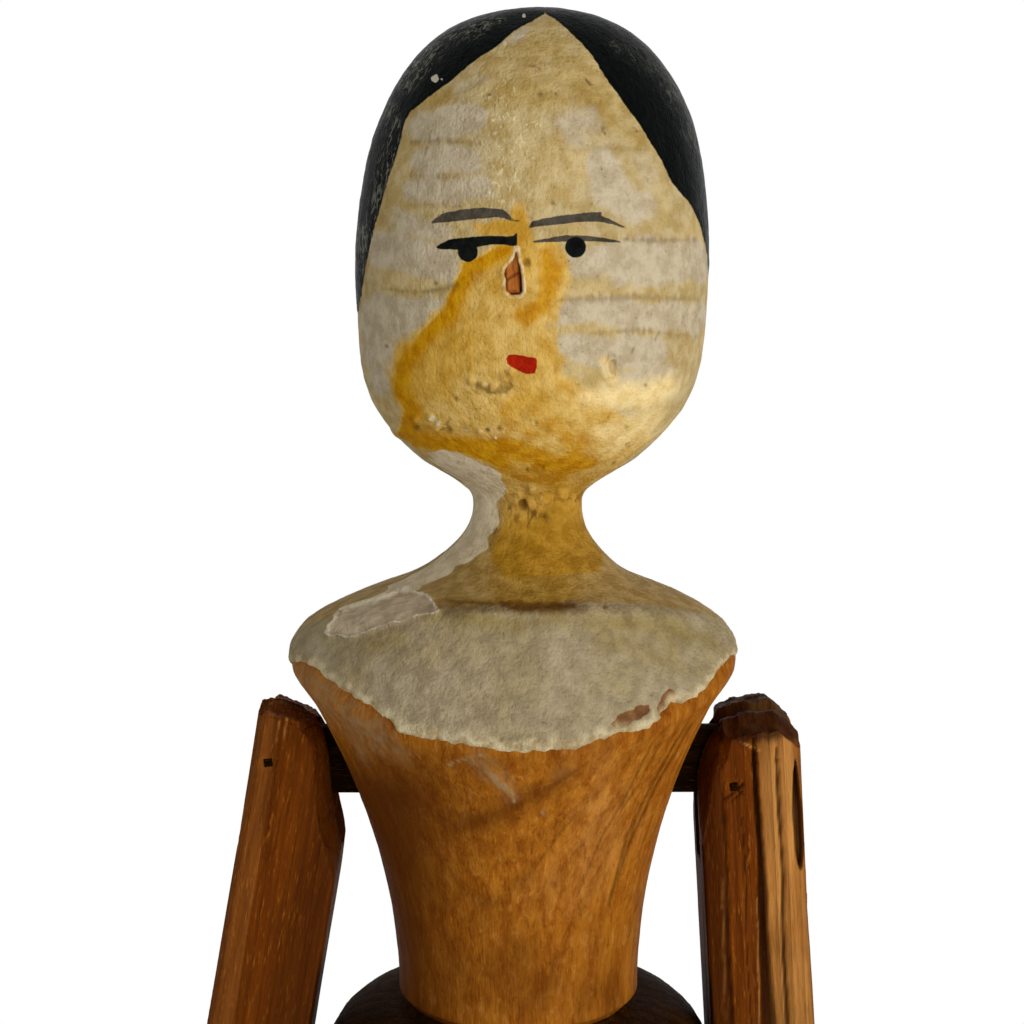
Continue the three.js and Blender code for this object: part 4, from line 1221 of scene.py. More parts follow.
# Across each arm, in its own mm: where its painted shade towards the chest and its painted light outside
# begin, and how strong that light is
ARM_SHADE = {"right": (3, 9), "left": (-1.3, -1.6)}
ARM_LIGHT = {"right": (0.8, 0.5), "left": (2.4, 3.2)}
ARM_PAINTED_LIGHT = {"right": 0.14, "left": 0.95}
# Cuts and scratches on an arm's front, as strokes in the photograph's pixels
ARM_CUTS = {"left": (((725, 799.6, 0.8), (743, 785, 1)), ((731, 802, 0.5), (743, 791.5, 0.8)),
                     ((733, 784, 0.6), (741, 794, 0.6))),
            "right": (((318, 722, 1.5), (322, 711, 2)), ((313, 717, 0.6), (316, 711, 1)))}
ARM_SCRATCHES = {"left": (((722, 878, 0.7), (724, 930, 0.9), (725, 1024, 0.8)),
                          ((758, 900, 0.8), (760, 1024, 0.8)),
                          ((741, 742, 0.7), (757, 750, 1.2), (782, 757, 0.6))),
                 "right": (((283, 740, 0.6), (288, 712, 0.8)), ((276, 742, 0.4), (279, 722, 0.5)))}


def arm_grooves(side, local):
    """How deep each point of an arm's front lies in its grooves, from 0 to 1, and the same in mm."""
    inside, depth = np.zeros(len(local)), np.zeros(len(local))
    down = np.clip(-local[:, 2] / ARM_LENGTH, 0, 1)
    bend = GROOVE_BEND * noise(local * (0, 0, 1), 9, 91)
    for top, foot, wide, foot_wide, deep, low, high in ARM_GROOVES[side]:
        across = np.abs(local[:, 0] - (top + (foot - top) * down + bend))
        uneven = 1 + GROOVE_UNEVEN * noise(local * (0, 0, 1), 3.1, 97)
        width = (wide + (foot_wide - wide) * down) * uneven
        ends = np.minimum(local[:, 2] - low, high - local[:, 2])
        width *= np.sqrt(smooth(-0.3, GROOVE_TAPER, ends)) + 0.01
        share = smooth(1.25, 0.55, across / width) * smooth(-0.2, 0.5, ends)
        inside, depth = np.maximum(inside, share), np.maximum(depth, deep * share)
    return inside, depth


def arm_top(side, local):
    """The arm's own heights, with its rough broken top, raised as far as the chest leaves room."""
    outer, inner, back, broken, dark = ARM_TOPS[side]
    across = np.clip(local[:, 0] * INWARD[side] / ARM_WIDE, 0, 1)
    rise = np.where(local[:, 1] < 0, outer + (inner - outer) * across, back)
    rise = (rise - broken * smooth(*TOP_FRONT, local[:, 1])) * smooth(TOP_START, TOP_FULL, local[:, 2])
    rise += TOP_ROUGHNESS * smooth(dark - 2, dark, local[:, 2]) * layered(local, *BROKEN_GRAIN)
    allowed = np.minimum(rise, 0)
    waiting = np.flatnonzero((rise > 0) & (local[:, 2] > TOP_START))
    for share in TOP_SHARES:
        tried = local[waiting].copy()
        tried[:, 2] += share * rise[waiting]
        clear = chest_room(side, tried) > CHEST_CLEARANCE
        allowed[waiting[clear]] = share * rise[waiting[clear]]
        waiting = waiting[~clear]
    return local[:, 2] + allowed


def arm_front(side, points, normals, local):
    """The arm's points with the grooves, the leaning inner strip and the cuts of its front."""
    inside, depth = arm_grooves(side, local)
    front = smooth(-0.3, -0.8, normals[:, 1])
    cuts = smooth(*CUT_EDGE, deepest(project(points), ARM_CUTS[side]))
    moved = points.copy()
    moved[:, 1] += front * (depth + CUT_DEPTH * cuts)
    if side == "left":
        strip = ARM_GROOVES["left"][0][0] - local[:, 0]
        moved[:, 1] += front * STRIP_SLOPE * np.clip(strip, 0, STRIP_WIDTH)
    return moved, front, np.maximum(GROOVE_DARK[side] * inside, cuts) * front


def arm_tone(side, local, broken):
    """How dark an arm's top is, and how strong its painted shade inside and painted light outside, 0 to 1.
    """
    dark = ARM_TOPS[side][4]
    dark_top = smooth(dark - 0.5, dark + 0.6, local[:, 2] + 0.6 * broken)
    shaded = local[:, 0].copy()
    if side == "right":
        dark_top *= smooth(-0.5, 2.5, local[:, 0] + broken)
        shaded -= local[:, 2] / 12
    # Painted light on the outer side, and painted shade on the side towards the chest
    pale = ARM_PAINTED_LIGHT[side] * smooth(*ARM_LIGHT[side], local[:, 0])
    return dark_top, smooth(*ARM_SHADE[side], shaded), pale


def arm_shape(side, points, normals, local):
    """The arm's points with its carved front, and marks of grooves, dirt, dust, painted shade and light.
    """
    moved, front, grooves = arm_front(side, points, normals, local)
    scratch = deepest(project(points), ARM_SCRATCHES[side]) + 0.6 * noise(points, 0.5, 93)
    broken = layered(local, *BROKEN_GRAIN)
    dark_top, shade, lit = arm_tone(side, local, broken)
    inward = smooth(0.3, 0.7, normals @ limb_axes(side)[0] * INWARD[side])
    # Painted shade on the inner side, which faces the chest, low on the arm
    inside = WEAR_AND_SHADE["arm_inside_shade"] * inward * smooth(-19, -23, local[:, 2])
    patches = WEAR_AND_SHADE["arm_patches"] * smooth(-0.2, 0.9, layered(local, (2, 2, 9), 94, 3))
    lower = WEAR_AND_SHADE["arm_foot"] * smooth(-10, -34, local[:, 2])
    level = smooth(0.5, 0.9, normals[:, 2]) * smooth(3, 4, local[:, 2])
    marks = {
        "groove": grooves,
        # The darker top, with the painted shade of the inner side
        "dark_top_and_shade": np.maximum(WEAR_AND_SHADE["arm_top"] * dark_top, inside),
        # Patches, painted shade on the side towards the chest, and a darker lower arm
        "grime_and_shade": np.maximum.reduce([patches, WEAR_AND_SHADE["arm_side_shade"] * shade, lower]),
        "dust": WEAR_AND_SHADE["arm_dust"] * level * smooth(-0.2, 0.6, broken),
        # Painted light on the outer side, with the scratches
        "pale": np.maximum(lit, WEAR_AND_SHADE["scratch"] * smooth(*LINE_EDGE, scratch)) * front,
    }
    return moved, marks


def fill_bore(work, centre):
    """Closes the round bore along Y in an arm's two tines, before the arm is remeshed."""
    reach = ARM_DEPTH / 2 - FACE_INSET
    turn = Matrix.Rotation(math.pi / 2, 4, "X")
    plug = {"radius1": BORE_FILL * MM, "radius2": BORE_FILL * MM, "depth": (reach - TINE_INNER) * MM}
    for way in (-1, 1):
        middle = centre + Vector((0, (TINE_INNER + reach) / 2 * way, 0))
        made = bmesh.ops.create_cone(work, cap_ends=True, segments=24, **plug)
        bmesh.ops.transform(work, matrix=Matrix.Translation(middle * MM) @ turn, verts=made["verts"])


# The guessed paint of the lower limbs: how far below the elbow or knee it begins, and the slipper's top
# edge and its dip over the foot, in mm
PAINT_TOPS = {"forearm": -9, "shin": -12}
SLIPPER_HEIGHT = 11.5
SLIPPER_DIP = 3.2
# How far the worn edge of that paint wanders, in mm
PAINT_WORN = 0.9
# Growth rings in a whittled piece, in mm from one to the next
LIMB_RING_PERIOD = 1.3


def painted_limb(obj, kind, local):
    """Old paint on a forearm and hand, or on a shin with its slipper, worn off at the edges."""
    points = mesh_points(obj)
    worn = PAINT_WORN * layered(points, 2.4, 95, 4)
    keep = smooth(0.2, -0.5, local[:, 2] - PAINT_TOPS[kind] + 2 * worn)
    chipped = smooth(1.15, 0.8, layered(points, (1.6, 1.6, 3), 96, 4))
    mark(obj, "paint", keep * chipped)
    if kind == "shin":
        edge = SLIPPER_HEIGHT - SLIPPER_DIP * smooth(2, -8, points[:, 1])
        mark(obj, "slipper", smooth(0.25, -0.25, points[:, 2] - edge + 0.2 * worn))


def whittled(node, face, origin, axes, seed, fibre=0.05, facet=0.12, groove=0.1, side=None):
    """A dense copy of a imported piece, with fibres, knife facets and grooves of those depths in mm."""
    obj = copied(node, node + "_wood")
    if side:
        edited(obj.data, lambda work: fill_bore(work, Vector(origin)))
    even_faces(obj, face)
    points, normals = mesh_points(obj), mesh_normals(obj)
    local = (points - origin) @ axes.T
    marks = {}
    if side:
        local[:, 2] = arm_top(side, local)
        local[:, 0] = inner_side(side, obj, local)
        points, marks = arm_shape(side, origin + local @ axes, normals, local)
    strands = layered(local, (0.5, 0.5, 12), seed, 2)
    cuts = noise(local, (4, 4, 13), seed + 3)
    splits = smooth(0.12, 0, np.abs(noise(local, (1.6, 1.6, 26), seed + 5)))
    depth = -fibre * (1 + strands) * 0.5 - facet * (1 + cuts) * 0.35 - groove * splits
    move_points(obj, points + normals * depth[:, None])
    mark(obj, "place", local)
    mark(obj, "groove", np.maximum(0.3 * splits, marks.get("groove", 0)))
    mark(obj, "grime_and_shade", marks.get("grime_and_shade", 0.5 * smooth(-0.2, 1, layered(local, 6, seed + 9, 3))))
    for name in ("dust", "pale", "dark_top_and_shade"):
        mark(obj, name, marks.get(name, np.zeros(len(points))))
    tilt = seed % 7 / 7
    mark(obj, "rings", (local[:, 0] * math.cos(tilt) + local[:, 1] * math.sin(tilt)
                        + 0.35 * noise(local, (6, 6, 30), seed + 7)) / LIMB_RING_PERIOD)
    stands_for(obj, node)
    return obj


# The joint at the top of each piece of a limb, its face size in mm, its first noise seed and its finish
LIMBS = {"upper_arm": ("_arm_lift", 0.2, 100, "pine"), "forearm": ("_elbow", 0.3, 110, "painted_pine"),
         "thigh": ("_hip", 0.4, 120, "pine"), "shin": ("_knee", 0.4, 130, "painted_pine")}
SIDE_SEEDS = {"right": 0, "left": 40}
# The first noise seed of each other piece
ROD_SEED = 180
WEDGE_SEED = 190
PEG_SEED = 200
HIP_PEG_SEED = 210


def limb(side, kind):
    """One piece of an arm or leg; an arm's pieces lean with the arm."""
    joint, face, seed, slot = LIMBS[kind]
    axes = limb_axes(side) if kind in ("upper_arm", "forearm") else UPRIGHT
    place = joint_place(side + joint)
    shaped = side if kind == "upper_arm" else None
    obj = whittled(side + "_" + kind, face, place, axes, seed + SIDE_SEEDS[side], side=shaped)
    if kind in PAINT_TOPS:
        painted_limb(obj, kind, mesh_points(obj) - place)
    return obj


# The crack across the wedge and the row above which it is pale, in the photograph's pixels
WEDGE_CRACK = ((505, 281, 0.9), (512, 276, 1.4), (518.5, 273, 1))
WEDGE_PALE = 268
# How deep the crack and the splinters of the wedge's broken end are, in mm
WEDGE_CRACK_DEPTH = 0.25
WEDGE_SPLINTERS = 0.22


def splintered_wedge():
    """The nose's wedge, its broken end splintered, pale above and cracked across."""
    middle = corner_points("nose_wedge").mean(axis=0)
    obj = whittled("nose_wedge", 0.1, middle, UPRIGHT, WEDGE_SEED, fibre=0.02, facet=0.05, groove=0)
    points = mesh_points(obj)
    spots = project(points)
    front = smooth(0, -1.5, points[:, 1] - points[:, 1].min() - 1.5)
    crack = smooth(*CUT_EDGE, stroke(spots, WEDGE_CRACK))
    splinters = np.abs(layered(points, (0.5, 0.5, 1.4), WEDGE_SEED + 1, 2))
    points[:, 1] += front * (WEDGE_CRACK_DEPTH * crack + WEDGE_SPLINTERS * splinters)
    move_points(obj, points)
    remark(obj, "pale", smooth(2, -3, spots[:, 1] - WEDGE_PALE))
    remark(obj, "groove", 0.5 * crack * front)
    return obj


def shoulder_rod():
    """The dowel through the torso, with its flattened tongues."""
    along = np.array(((0, 1, 0), (0, 0, 1), (1, 0, 0)))
    middle = np.array((AXIS_X, 0, ROD_HEIGHT))
    return whittled("shoulder_rod", 0.25, middle, along, ROD_SEED)


PEG_SIDES = 16
PEG_RINGS = 26
# The square peg's half width in mm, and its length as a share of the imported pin's
SQUARE_PEG = 0.5
SQUARE_PEG_LENGTH = 0.985
# How much thinner a peg's ends are, over how many mm, and how uneven it is, as shares of its radius
PEG_TAPER = 0.14
PEG_TAPER_LENGTH = 0.4
PEG_UNEVEN = 0.04
PEG_RING_PERIOD = 0.9


def peg(node, seed, size=0.0, square=False):
    """A whittled peg in place of a packed pin, along its own axis; a square one is a little short."""
    points = corner_points(node)
    middle = (points.max(axis=0) + points.min(axis=0)) / 2
    _, _, (along, side, third) = np.linalg.svd(points - middle, full_matrices=False)
    span = (points - middle) @ along * (SQUARE_PEG_LENGTH if square else 1)
    radius = size or np.max(np.abs((points - middle) @ side))
    turn = np.linspace(0, 2 * math.pi, PEG_SIDES, endpoint=False)
    corner = 1 / np.maximum(np.abs(np.cos(turn)), np.abs(np.sin(turn))) if square else 1 + 0 * turn
    rows = []
    for place in np.linspace(span.min(), span.max(), PEG_RINGS):
        end = min(place - span.min(), span.max() - place)
        spots = np.column_stack((np.cos(turn), np.sin(turn), np.full(PEG_SIDES, place / 3)))
        full = 1 - PEG_TAPER + PEG_TAPER * min(1, end / PEG_TAPER_LENGTH)
        uneven = 1 - PEG_UNEVEN + PEG_UNEVEN * noise(spots, 1, seed)
        reach = radius * corner * full * uneven
        rows.append(middle + along * place + side * (reach * np.cos(turn))[:, None]
                    + third * (reach * np.sin(turn))[:, None])
    grid = np.array(rows)
    obj = revolved(node + "_peg", grid, grid[0].mean(axis=0), grid[-1].mean(axis=0))
    edited(obj.data, lambda work: bmesh.ops.recalc_face_normals(work, faces=work.faces))
    local = (mesh_points(obj) - middle) @ np.array((side, third, along)).T
    mark(obj, "place", local)
    mark(obj, "rings", local[:, 0] / PEG_RING_PERIOD)
    stands_for(obj, node)
    return obj


# Materials

# Each paint's two colours, between which it is blotched, as seen on the screen, from 0 to 255
PAINTS = {
    "cream": ((208, 184, 132), (190, 162, 104)), "brown_cream": ((198, 178, 134), (178, 152, 98)),
    "olive": ((188, 158, 90), (162, 130, 62)), "grey": ((206, 190, 160), (184, 166, 134)),
    "shoulder": ((176, 146, 88), (150, 118, 58)), "yellow_shoulder": ((174, 136, 50), (146, 106, 28)),
    "pale_amber": ((226, 188, 108), (206, 164, 80)), "warm_amber": ((216, 170, 76), (196, 148, 52)),
    "deep_amber": ((210, 152, 20), (188, 124, 4)), "neck_amber": ((176, 130, 38), (146, 104, 20)),
    "painted_highlight": ((252, 224, 160), (238, 206, 136)), "gesso": ((178, 162, 130), (158, 142, 112)),
    "brown_gesso": ((172, 154, 116), (150, 134, 102)), "stained_gesso": ((150, 130, 72), (130, 108, 52)),
    "chalk": ((228, 210, 176), (204, 186, 150)), "flake": ((212, 192, 160), (180, 160, 130)),
    "chip": ((142, 100, 64), (116, 78, 46)), "lip": ((218, 202, 162), (164, 140, 98)),
    "crease": ((112, 74, 8), (84, 50, 2)), "grey_line": ((88, 80, 68), (64, 58, 50)),
    "black_line": ((10, 12, 11), (26, 28, 26)), "red": ((180, 38, 12), (150, 26, 8)),
    "bare_wood": ((176, 112, 52), (130, 74, 28)),
}
# How soft the edge of a drawn shape is, and the features with their swelling, in the photograph's pixels
EDGE_SOFTNESS = 0.6
DRAWN = (("brow", 0.5, "grey_line"), ("lid", 0.4, "grey_line"), ("black", 0, "black_line"),
         ("mouth", 0, "red"))
# Plain colours of marks in the paint and on the wood
INKS = {
    "flake_rim": (232, 218, 188), "speck": (112, 82, 40), "scratch": (136, 104, 56), "dirt": (88, 56, 14),
    "glint": (240, 222, 170), "nose_rim": (240, 220, 178), "hair": (3, 6, 5), "streak": (13, 17, 15),
    "worn_hair_and_sheen": (118, 118, 104), "fleck": (212, 202, 178), "pale_wood": (206, 144, 74),
    "pale_strand": (166, 108, 48), "pale_mottle": (198, 140, 66), "scratch_and_glint": (206, 128, 40),
    "groove": (30, 13, 2), "dust": (150, 118, 78), "cream_paint": (206, 182, 132),
    "brown_paint": (184, 156, 102), "slipper": (128, 36, 22), "dark_slipper": (96, 24, 14),
    "paint_dirt": (120, 92, 50), "dark_top_and_shade": (26, 10, 2), "brown_dark_top_and_shade": (58, 28, 8),
}
# How strongly the paint shines, how rough the wood is, and the fine relief of each, in mm
PAINT_SHINE = 0.012
WOOD_ROUGHNESS = 0.62
PAINT_RELIEF = 0.24
WOOD_RELIEF = 0.11
# Each wood's light, dark and late-ring colour
WOODS = {
    "turned_pine": ((168, 104, 26), (142, 78, 12), (76, 32, 2)),
    "dark_turned_pine": ((54, 28, 4), (36, 17, 2), (18, 8, 1)),
    # Near black; on the shoulder rod this is painted shade where it lies between chest and arms, and the
    # pegs share it
    "dark_pine": ((34, 17, 4), (22, 10, 2), (12, 5, 1)),
    "whittled_pine": ((118, 58, 6), (94, 42, 3), (58, 24, 2)),
    "split_pine": ((206, 134, 62), (176, 104, 40), (134, 62, 24)),
}


def srgb(red, green, blue):
    """A colour as seen on the screen, from 0 to 255, in linear light."""
    found = [((c / 255 + 0.055) / 1.055) ** 2.4 if c > 10 else c / 255 / 12.92 for c in (red, green, blue)]
    return (*found, 1)


def ink(name):
    """A plain colour by its name."""
    return srgb(*INKS[name])


class Graph:
    """Short ways to build one material from nodes, its colour in layers."""

    def __init__(self, name):
        self.material = bpy.data.materials.new(name)
        self.material.use_nodes = True
        self.nodes = self.material.node_tree.nodes
        self.links = self.material.node_tree.links
        self.shader = self.nodes["Principled BSDF"]
        self.colour = None

    def add(self, kind, inputs=(), **settings):
        """A new node with its inputs and settings."""
        made = self.nodes.new(kind)
        for key, value in settings.items():
            setattr(made, key, value)
        for key, value in dict(inputs).items():
            self.put(made.inputs[key], value)
        return made

    def put(self, socket, value):
        """Links an output to an input, or sets the input to a value."""
        if isinstance(value, bpy.types.NodeSocket):
            self.links.new(value, socket)
        else:
            socket.default_value = value

    def mark(self, name):
        """What the mesh stores under a name."""
        return self.add("ShaderNodeAttribute", attribute_name=name).outputs["Fac"]

    def place(self, stretch=(1, 1, 1)):
        """The place on the piece, in mm, stretched along its own axes."""
        source = self.add("ShaderNodeAttribute", attribute_name="place").outputs["Vector"]
        scaled = self.add("ShaderNodeVectorMath", {0: source, 1: stretch}, operation="MULTIPLY")
        return scaled.outputs[0]

    def noise(self, size, detail=3, stretch=(1, 1, 1), rough=0.5, bend=0.0):
        """Noise with lumps of a size in mm."""
        inputs = {"Vector": self.place(stretch), "Scale": 1 / size, "Detail": detail, "Roughness": rough,
                  "Distortion": bend}
        return self.add("ShaderNodeTexNoise", inputs).outputs["Fac"]

    def step(self, value, low, high, start=0.0, end=1.0):
        """A smooth step from start at low to end at high."""
        inputs = {"Value": value, "From Min": low, "From Max": high, "To Min": start, "To Max": end}
        return self.add("ShaderNodeMapRange", inputs, interpolation_type="SMOOTHSTEP").outputs["Result"]

    def math(self, operation, a, b=0.0):
        """The result of one sum."""
        return self.add("ShaderNodeMath", {0: a, 1: b}, operation=operation).outputs[0]

    def times(self, a, b):
        """The product of two numbers."""
        return self.math("MULTIPLY", a, b)

    def mix(self, share, a, b):
        """The first colour, with a share of the second."""
        made = self.add("ShaderNodeMix", data_type="RGBA")
        self.put(made.inputs[0], share)
        self.put(made.inputs[6], a)
        self.put(made.inputs[7], b)
        return made.outputs[2]

    def over(self, share, colour):
        """Lays a share of a colour over the layers so far."""
        self.colour = self.mix(share, self.colour, colour)

    def bump(self, height, distance):
        """The surface's direction over fine relief of that height in mm."""
        inputs = {"Height": height, "Distance": distance * MM, "Strength": 1.0}
        return self.add("ShaderNodeBump", inputs).outputs["Normal"]

    def finish(self, **values):
        """Sets the surface's colour and its other inputs by name, and returns the material."""
        self.put(self.shader.inputs["Base Color"], self.colour)
        named = {name.lower().replace(" ", "_"): name for name in self.shader.inputs.keys()}
        for key, value in values.items():
            self.put(self.shader.inputs[named[key]], value)
        return self.material


class PaintGraph(Graph):
    """A material graph with the patterns that all of the paint shares."""

    def __init__(self, name):
        super().__init__(name)
        self.wobble = self.times(self.math("SUBTRACT", self.noise(0.6, 3), 0.5), 2)
        self.cloud = self.noise(7, 3)
        self.mottle = self.noise(1.6, 4, rough=0.6)
        self.grain = self.noise(0.35, 4, rough=0.6)

    def edge(self, name, swell=0.0):
        """1 inside a drawn shape and 0 outside, with a slightly wavering edge."""
        depth = self.math("ADD", self.mark(name), self.wobble)
        return self.step(depth, -EDGE_SOFTNESS - swell, EDGE_SOFTNESS - swell)

    def paint(self, name):
        """A paint by its name, blotched between its two colours."""
        first, second = PAINTS[name]
        return self.mix(self.step(self.mottle, 0.36, 0.64), srgb(*first), srgb(*second))


def old_paint(g):
    """Cream paint with browner clouds, varnish stains, the shoulders' slope and grey worn places."""
    g.colour = g.mix(g.step(g.cloud, 0.35, 0.65), g.paint("cream"), g.paint("brown_cream"))
    g.over(g.mark("olive"), g.paint("olive"))
    slope = g.mix(g.mark("middle"), g.paint("shoulder"), g.paint("yellow_shoulder"))
    g.over(g.times(g.mark("slope"), 0.9), slope)
    g.over(g.step(g.math("ADD", g.mark("grey"), g.times(g.wobble, 0.12)), 0.15, 0.7), g.paint("grey"))


def yellow_stain(g):
    """The yellow varnish over nose, mouth and chin with its deeper edges, and painted highlights on the
    jaw.
    """
    amber = g.mix(g.step(g.cloud, 0.4, 0.62), g.paint("pale_amber"), g.paint("warm_amber"))
    amber = g.mix(g.step(g.mark("amber"), 0.5, 0.96), amber, g.paint("deep_amber"))
    amber = g.mix(g.times(g.mark("slope"), 0.9), amber, g.paint("neck_amber"))
    g.over(g.step(g.mark("amber"), 0.1, 0.45), amber)
    # Painted highlights on the jaw and cheek
    g.over(g.mark("painted_highlight"), g.paint("painted_highlight"))


def bare_gesso(g):
    """The grey of the chest, the chalk, the flake in its pale rim, the chips and the lip, partly painted
    highlight.
    """
    lens = g.mix(g.step(g.cloud, 0.4, 0.6), g.paint("gesso"), g.paint("brown_gesso"))
    g.over(g.mark("lens"), g.mix(g.mark("olive"), lens, g.paint("stained_gesso")))
    g.over(g.edge("chalk"), g.paint("chalk"))
    flake = g.mark("flake")
    g.over(g.step(flake, -0.5, 1), g.paint("flake"))
    rim = g.times(g.step(flake, -2.2, -0.8), g.step(flake, 1, 0))
    g.over(g.times(rim, 0.85), ink("flake_rim"))
    g.over(g.edge("chip"), g.paint("chip"))
    # The pale lip, partly a painted highlight along its edge
    g.over(g.times(g.mark("lip"), 0.75), g.paint("lip"))


def old_dirt(g):
    """Specks, scratches, the dark crease of the shoulders, dirt in the relief and painted glints on the
    grit.
    """
    specks = g.times(g.step(g.grain, 0.62, 0.7), g.step(g.mottle, 0.4, 0.62))
    g.over(g.times(specks, 0.6), ink("speck"))
    scratch = g.step(g.noise(0.5, 3, (1.6, 1.6, 0.5), 0.6, 0.6), 0.6, 0.72)
    g.over(g.times(scratch, 0.22), ink("scratch"))
    g.over(g.times(g.mark("crease"), 0.92), g.paint("crease"))
    deep = g.times(g.mark("dirt"), g.step(g.mottle, 0.75, 0.3, 0.35, 1))
    g.over(g.times(deep, 0.8), ink("dirt"))
    # Painted glints on the forehead's grit
    glint = g.step(g.noise(0.55, 3, (1, 1, 0.6), 0.55, 0.8), 0.58, 0.68)
    g.over(g.times(g.times(glint, g.mark("grit")), 0.6), ink("glint"))


def features(g):
    """Brows, lids, pupils, mouth, and the broken nose in its pale chipped rim, partly painted highlight.
    """
    for name, swell, paint in DRAWN:
        g.over(g.edge(name, swell), g.paint(paint))
    bare = g.mark("bare")
    rim = g.times(g.step(bare, -4.6, -2.4), g.step(bare, 0.4, -0.6))
    # The nose's pale chipped rim, partly painted highlight
    g.over(g.times(rim, g.step(g.noise(1.1, 3), 0.36, 0.58, 0.15, 0.9)), ink("nose_rim"))
    g.over(g.step(bare, -0.6, 0.8), g.paint("bare_wood"))


def black_hair(g, hair):
    """Black hair, rubbed in streaks that are partly painted sheen, with a few flecks of the ground."""
    streaks = g.step(g.noise(0.5, 4, (1, 1, 0.15), 0.7), 0.45, 0.75)
    rubbed = g.step(g.noise(0.7, 4, (1, 1, 0.45), 0.6, 1.2), 0.5, 0.63)
    black = g.mix(streaks, ink("hair"), ink("streak"))
    # Grey rubbed places, partly painted sheen
    g.over(hair, g.mix(g.times(g.mark("scuff_and_sheen"), rubbed), black, ink("worn_hair_and_sheen")))
    # Flecks of the ground, a few of them painted highlights
    g.over(g.step(g.mark("fleck"), -0.3, 0.4), ink("fleck"))


def painted_material():
    """Gesso under old paint and yellowed varnish, with black hair and the features of the face."""
    g = PaintGraph("painted_gesso")
    for layer in (old_paint, yellow_stain, bare_gesso, old_dirt, features):
        layer(g)
    hair = g.edge("hair")
    black_hair(g, hair)
    rough = g.math("ADD", g.step(hair, 0, 1, 0.6, 0.42), g.times(g.mark("grit"), -0.22))
    fine = g.times(g.noise(0.7, 3, (1, 1, 0.5), 0.6, 0.6), 0.8)
    height = g.math("ADD", g.math("ADD", g.times(g.mottle, 1.2), g.grain), fine)
    bump = g.bump(height, PAINT_RELIEF)
    return g.finish(roughness=rough, specular_ior_level=PAINT_SHINE, normal=bump)


def limb_paint(g, blotch, strand):
    """Cream paint with its dirt on a limb, and the red of its slipper, where the mesh says so."""
    cream = g.mix(g.step(blotch, 0.42, 0.6), ink("cream_paint"), ink("brown_paint"))
    slipper = g.mix(g.step(strand, 0.4, 0.65), ink("slipper"), ink("dark_slipper"))
    paint = g.mix(g.mark("slipper"), cream, slipper)
    spots = g.step(g.noise(0.5, 4, (1, 1, 0.5), 0.7), 0.6, 0.72, 0, 0.55)
    g.over(g.mark("paint"), g.mix(spots, paint, ink("paint_dirt")))


def wood_material(name, late=0.45, shine=0.03, worn=0.55, grain=0.07, mottle=0.0):
    """Old wood: late rings, a shine, light scratches partly as painted highlights, long grain and
    mottling, with the mesh's marks.
    """
    g = Graph(name)
    light, dark, line = (srgb(*colour) for colour in WOODS[name])
    phase = g.math("FRACT", g.mark("rings"))
    ring = g.times(g.step(phase, 0.5, 0.93), g.step(phase, 1, 0.95))
    fibre = g.noise(0.3, 4, (1, 1, 0.75 * grain), 0.6)
    strand = g.noise(1.3, 4, (1, 1, grain), 0.6)
    blotch = g.noise(6, 3, (1, 1, 0.5))
    fleck = g.noise(0.9, 4, (1, 1, 0.5), 0.65, 0.8)
    strands = g.step(strand, 0.34, 0.66)
    g.colour = g.mix(strands, light, dark)
    # Pale wood: scratches and splinters, and painted light on the torso's right and on the arms' outer
    # sides
    g.over(g.mark("pale"), g.mix(strands, ink("pale_wood"), ink("pale_strand")))
    g.over(g.step(fibre, 0.5, 0.8, 0, 0.5), line)
    g.over(g.step(blotch, 0.45, 0.75, 0, 0.45), dark)
    g.over(g.step(fleck, 0.5, 0.7, 0, mottle), line)
    g.over(g.step(fleck, 0.48, 0.3, 0, mottle), ink("pale_mottle"))
    g.over(g.times(ring, late), line)
    # Light scratches along the grain, partly painted highlights on the fibres
    scratch = g.step(g.noise(0.2, 3, (1, 1, 0.12), 0.6), 0.54, 0.74)
    g.over(g.times(scratch, worn), g.mix(0.55, light, ink("scratch_and_glint")))
    g.over(g.times(g.mark("groove"), 0.8), ink("groove"))
    # Grime, with painted shade on the torso's left and on the arms' sides towards the chest
    g.over(g.times(g.mark("grime_and_shade"), 0.92), line)
    g.over(g.times(g.mark("dust"), g.step(g.noise(0.9, 4), 0.3, 0.7, 0.3, 0.95)), ink("dust"))
    limb_paint(g, blotch, strand)
    # Darker arm tops, and painted shade on the arms' inner sides
    g.over(g.mark("dark_top_and_shade"), g.mix(g.step(strand, 0.4, 0.62), ink("dark_top_and_shade"), ink("brown_dark_top_and_shade")))
    height = g.math("ADD", fibre, g.noise(0.25, 3, (1, 1, 0.2)))
    bump = g.bump(g.math("SUBTRACT", height, g.times(ring, 0.3)), WOOD_RELIEF)
    return g.finish(roughness=WOOD_ROUGHNESS, specular_ior_level=shine, normal=bump)


def dress(obj, material):
    """Gives an object one material."""
    obj.data.materials.clear()
    obj.data.materials.append(material)


# Stage, camera and light

# The floor's radius in mm
FLOOR_RADIUS = 400
FLOOR_SIDES = 96
FLOOR_COLOUR = (0.82, 0.82, 0.81, 1)
FLOOR_ROUGHNESS = 0.8
# The share of the radius out to which the floor is solid
FLOOR_SOLID = 0.6
# The height in metres at which the lamps aim, and the strength of the light all round
AIM_HEIGHT = 0.25
WORLD_LIGHT = 0.28
# Place and size in metres, power in watts and colour of each lamp
LAMPS = {"key": ((0.5, -0.57, 0.27), 0.62, 5.1, (1, 0.985, 0.96)),
         "fill": ((-0.6, -0.6, 0.4), 0.6, 1.3, (0.98, 0.99, 1)),
         "back": ((0.1, 0.8, 0.35), 0.7, 1.8, (1, 1, 1))}


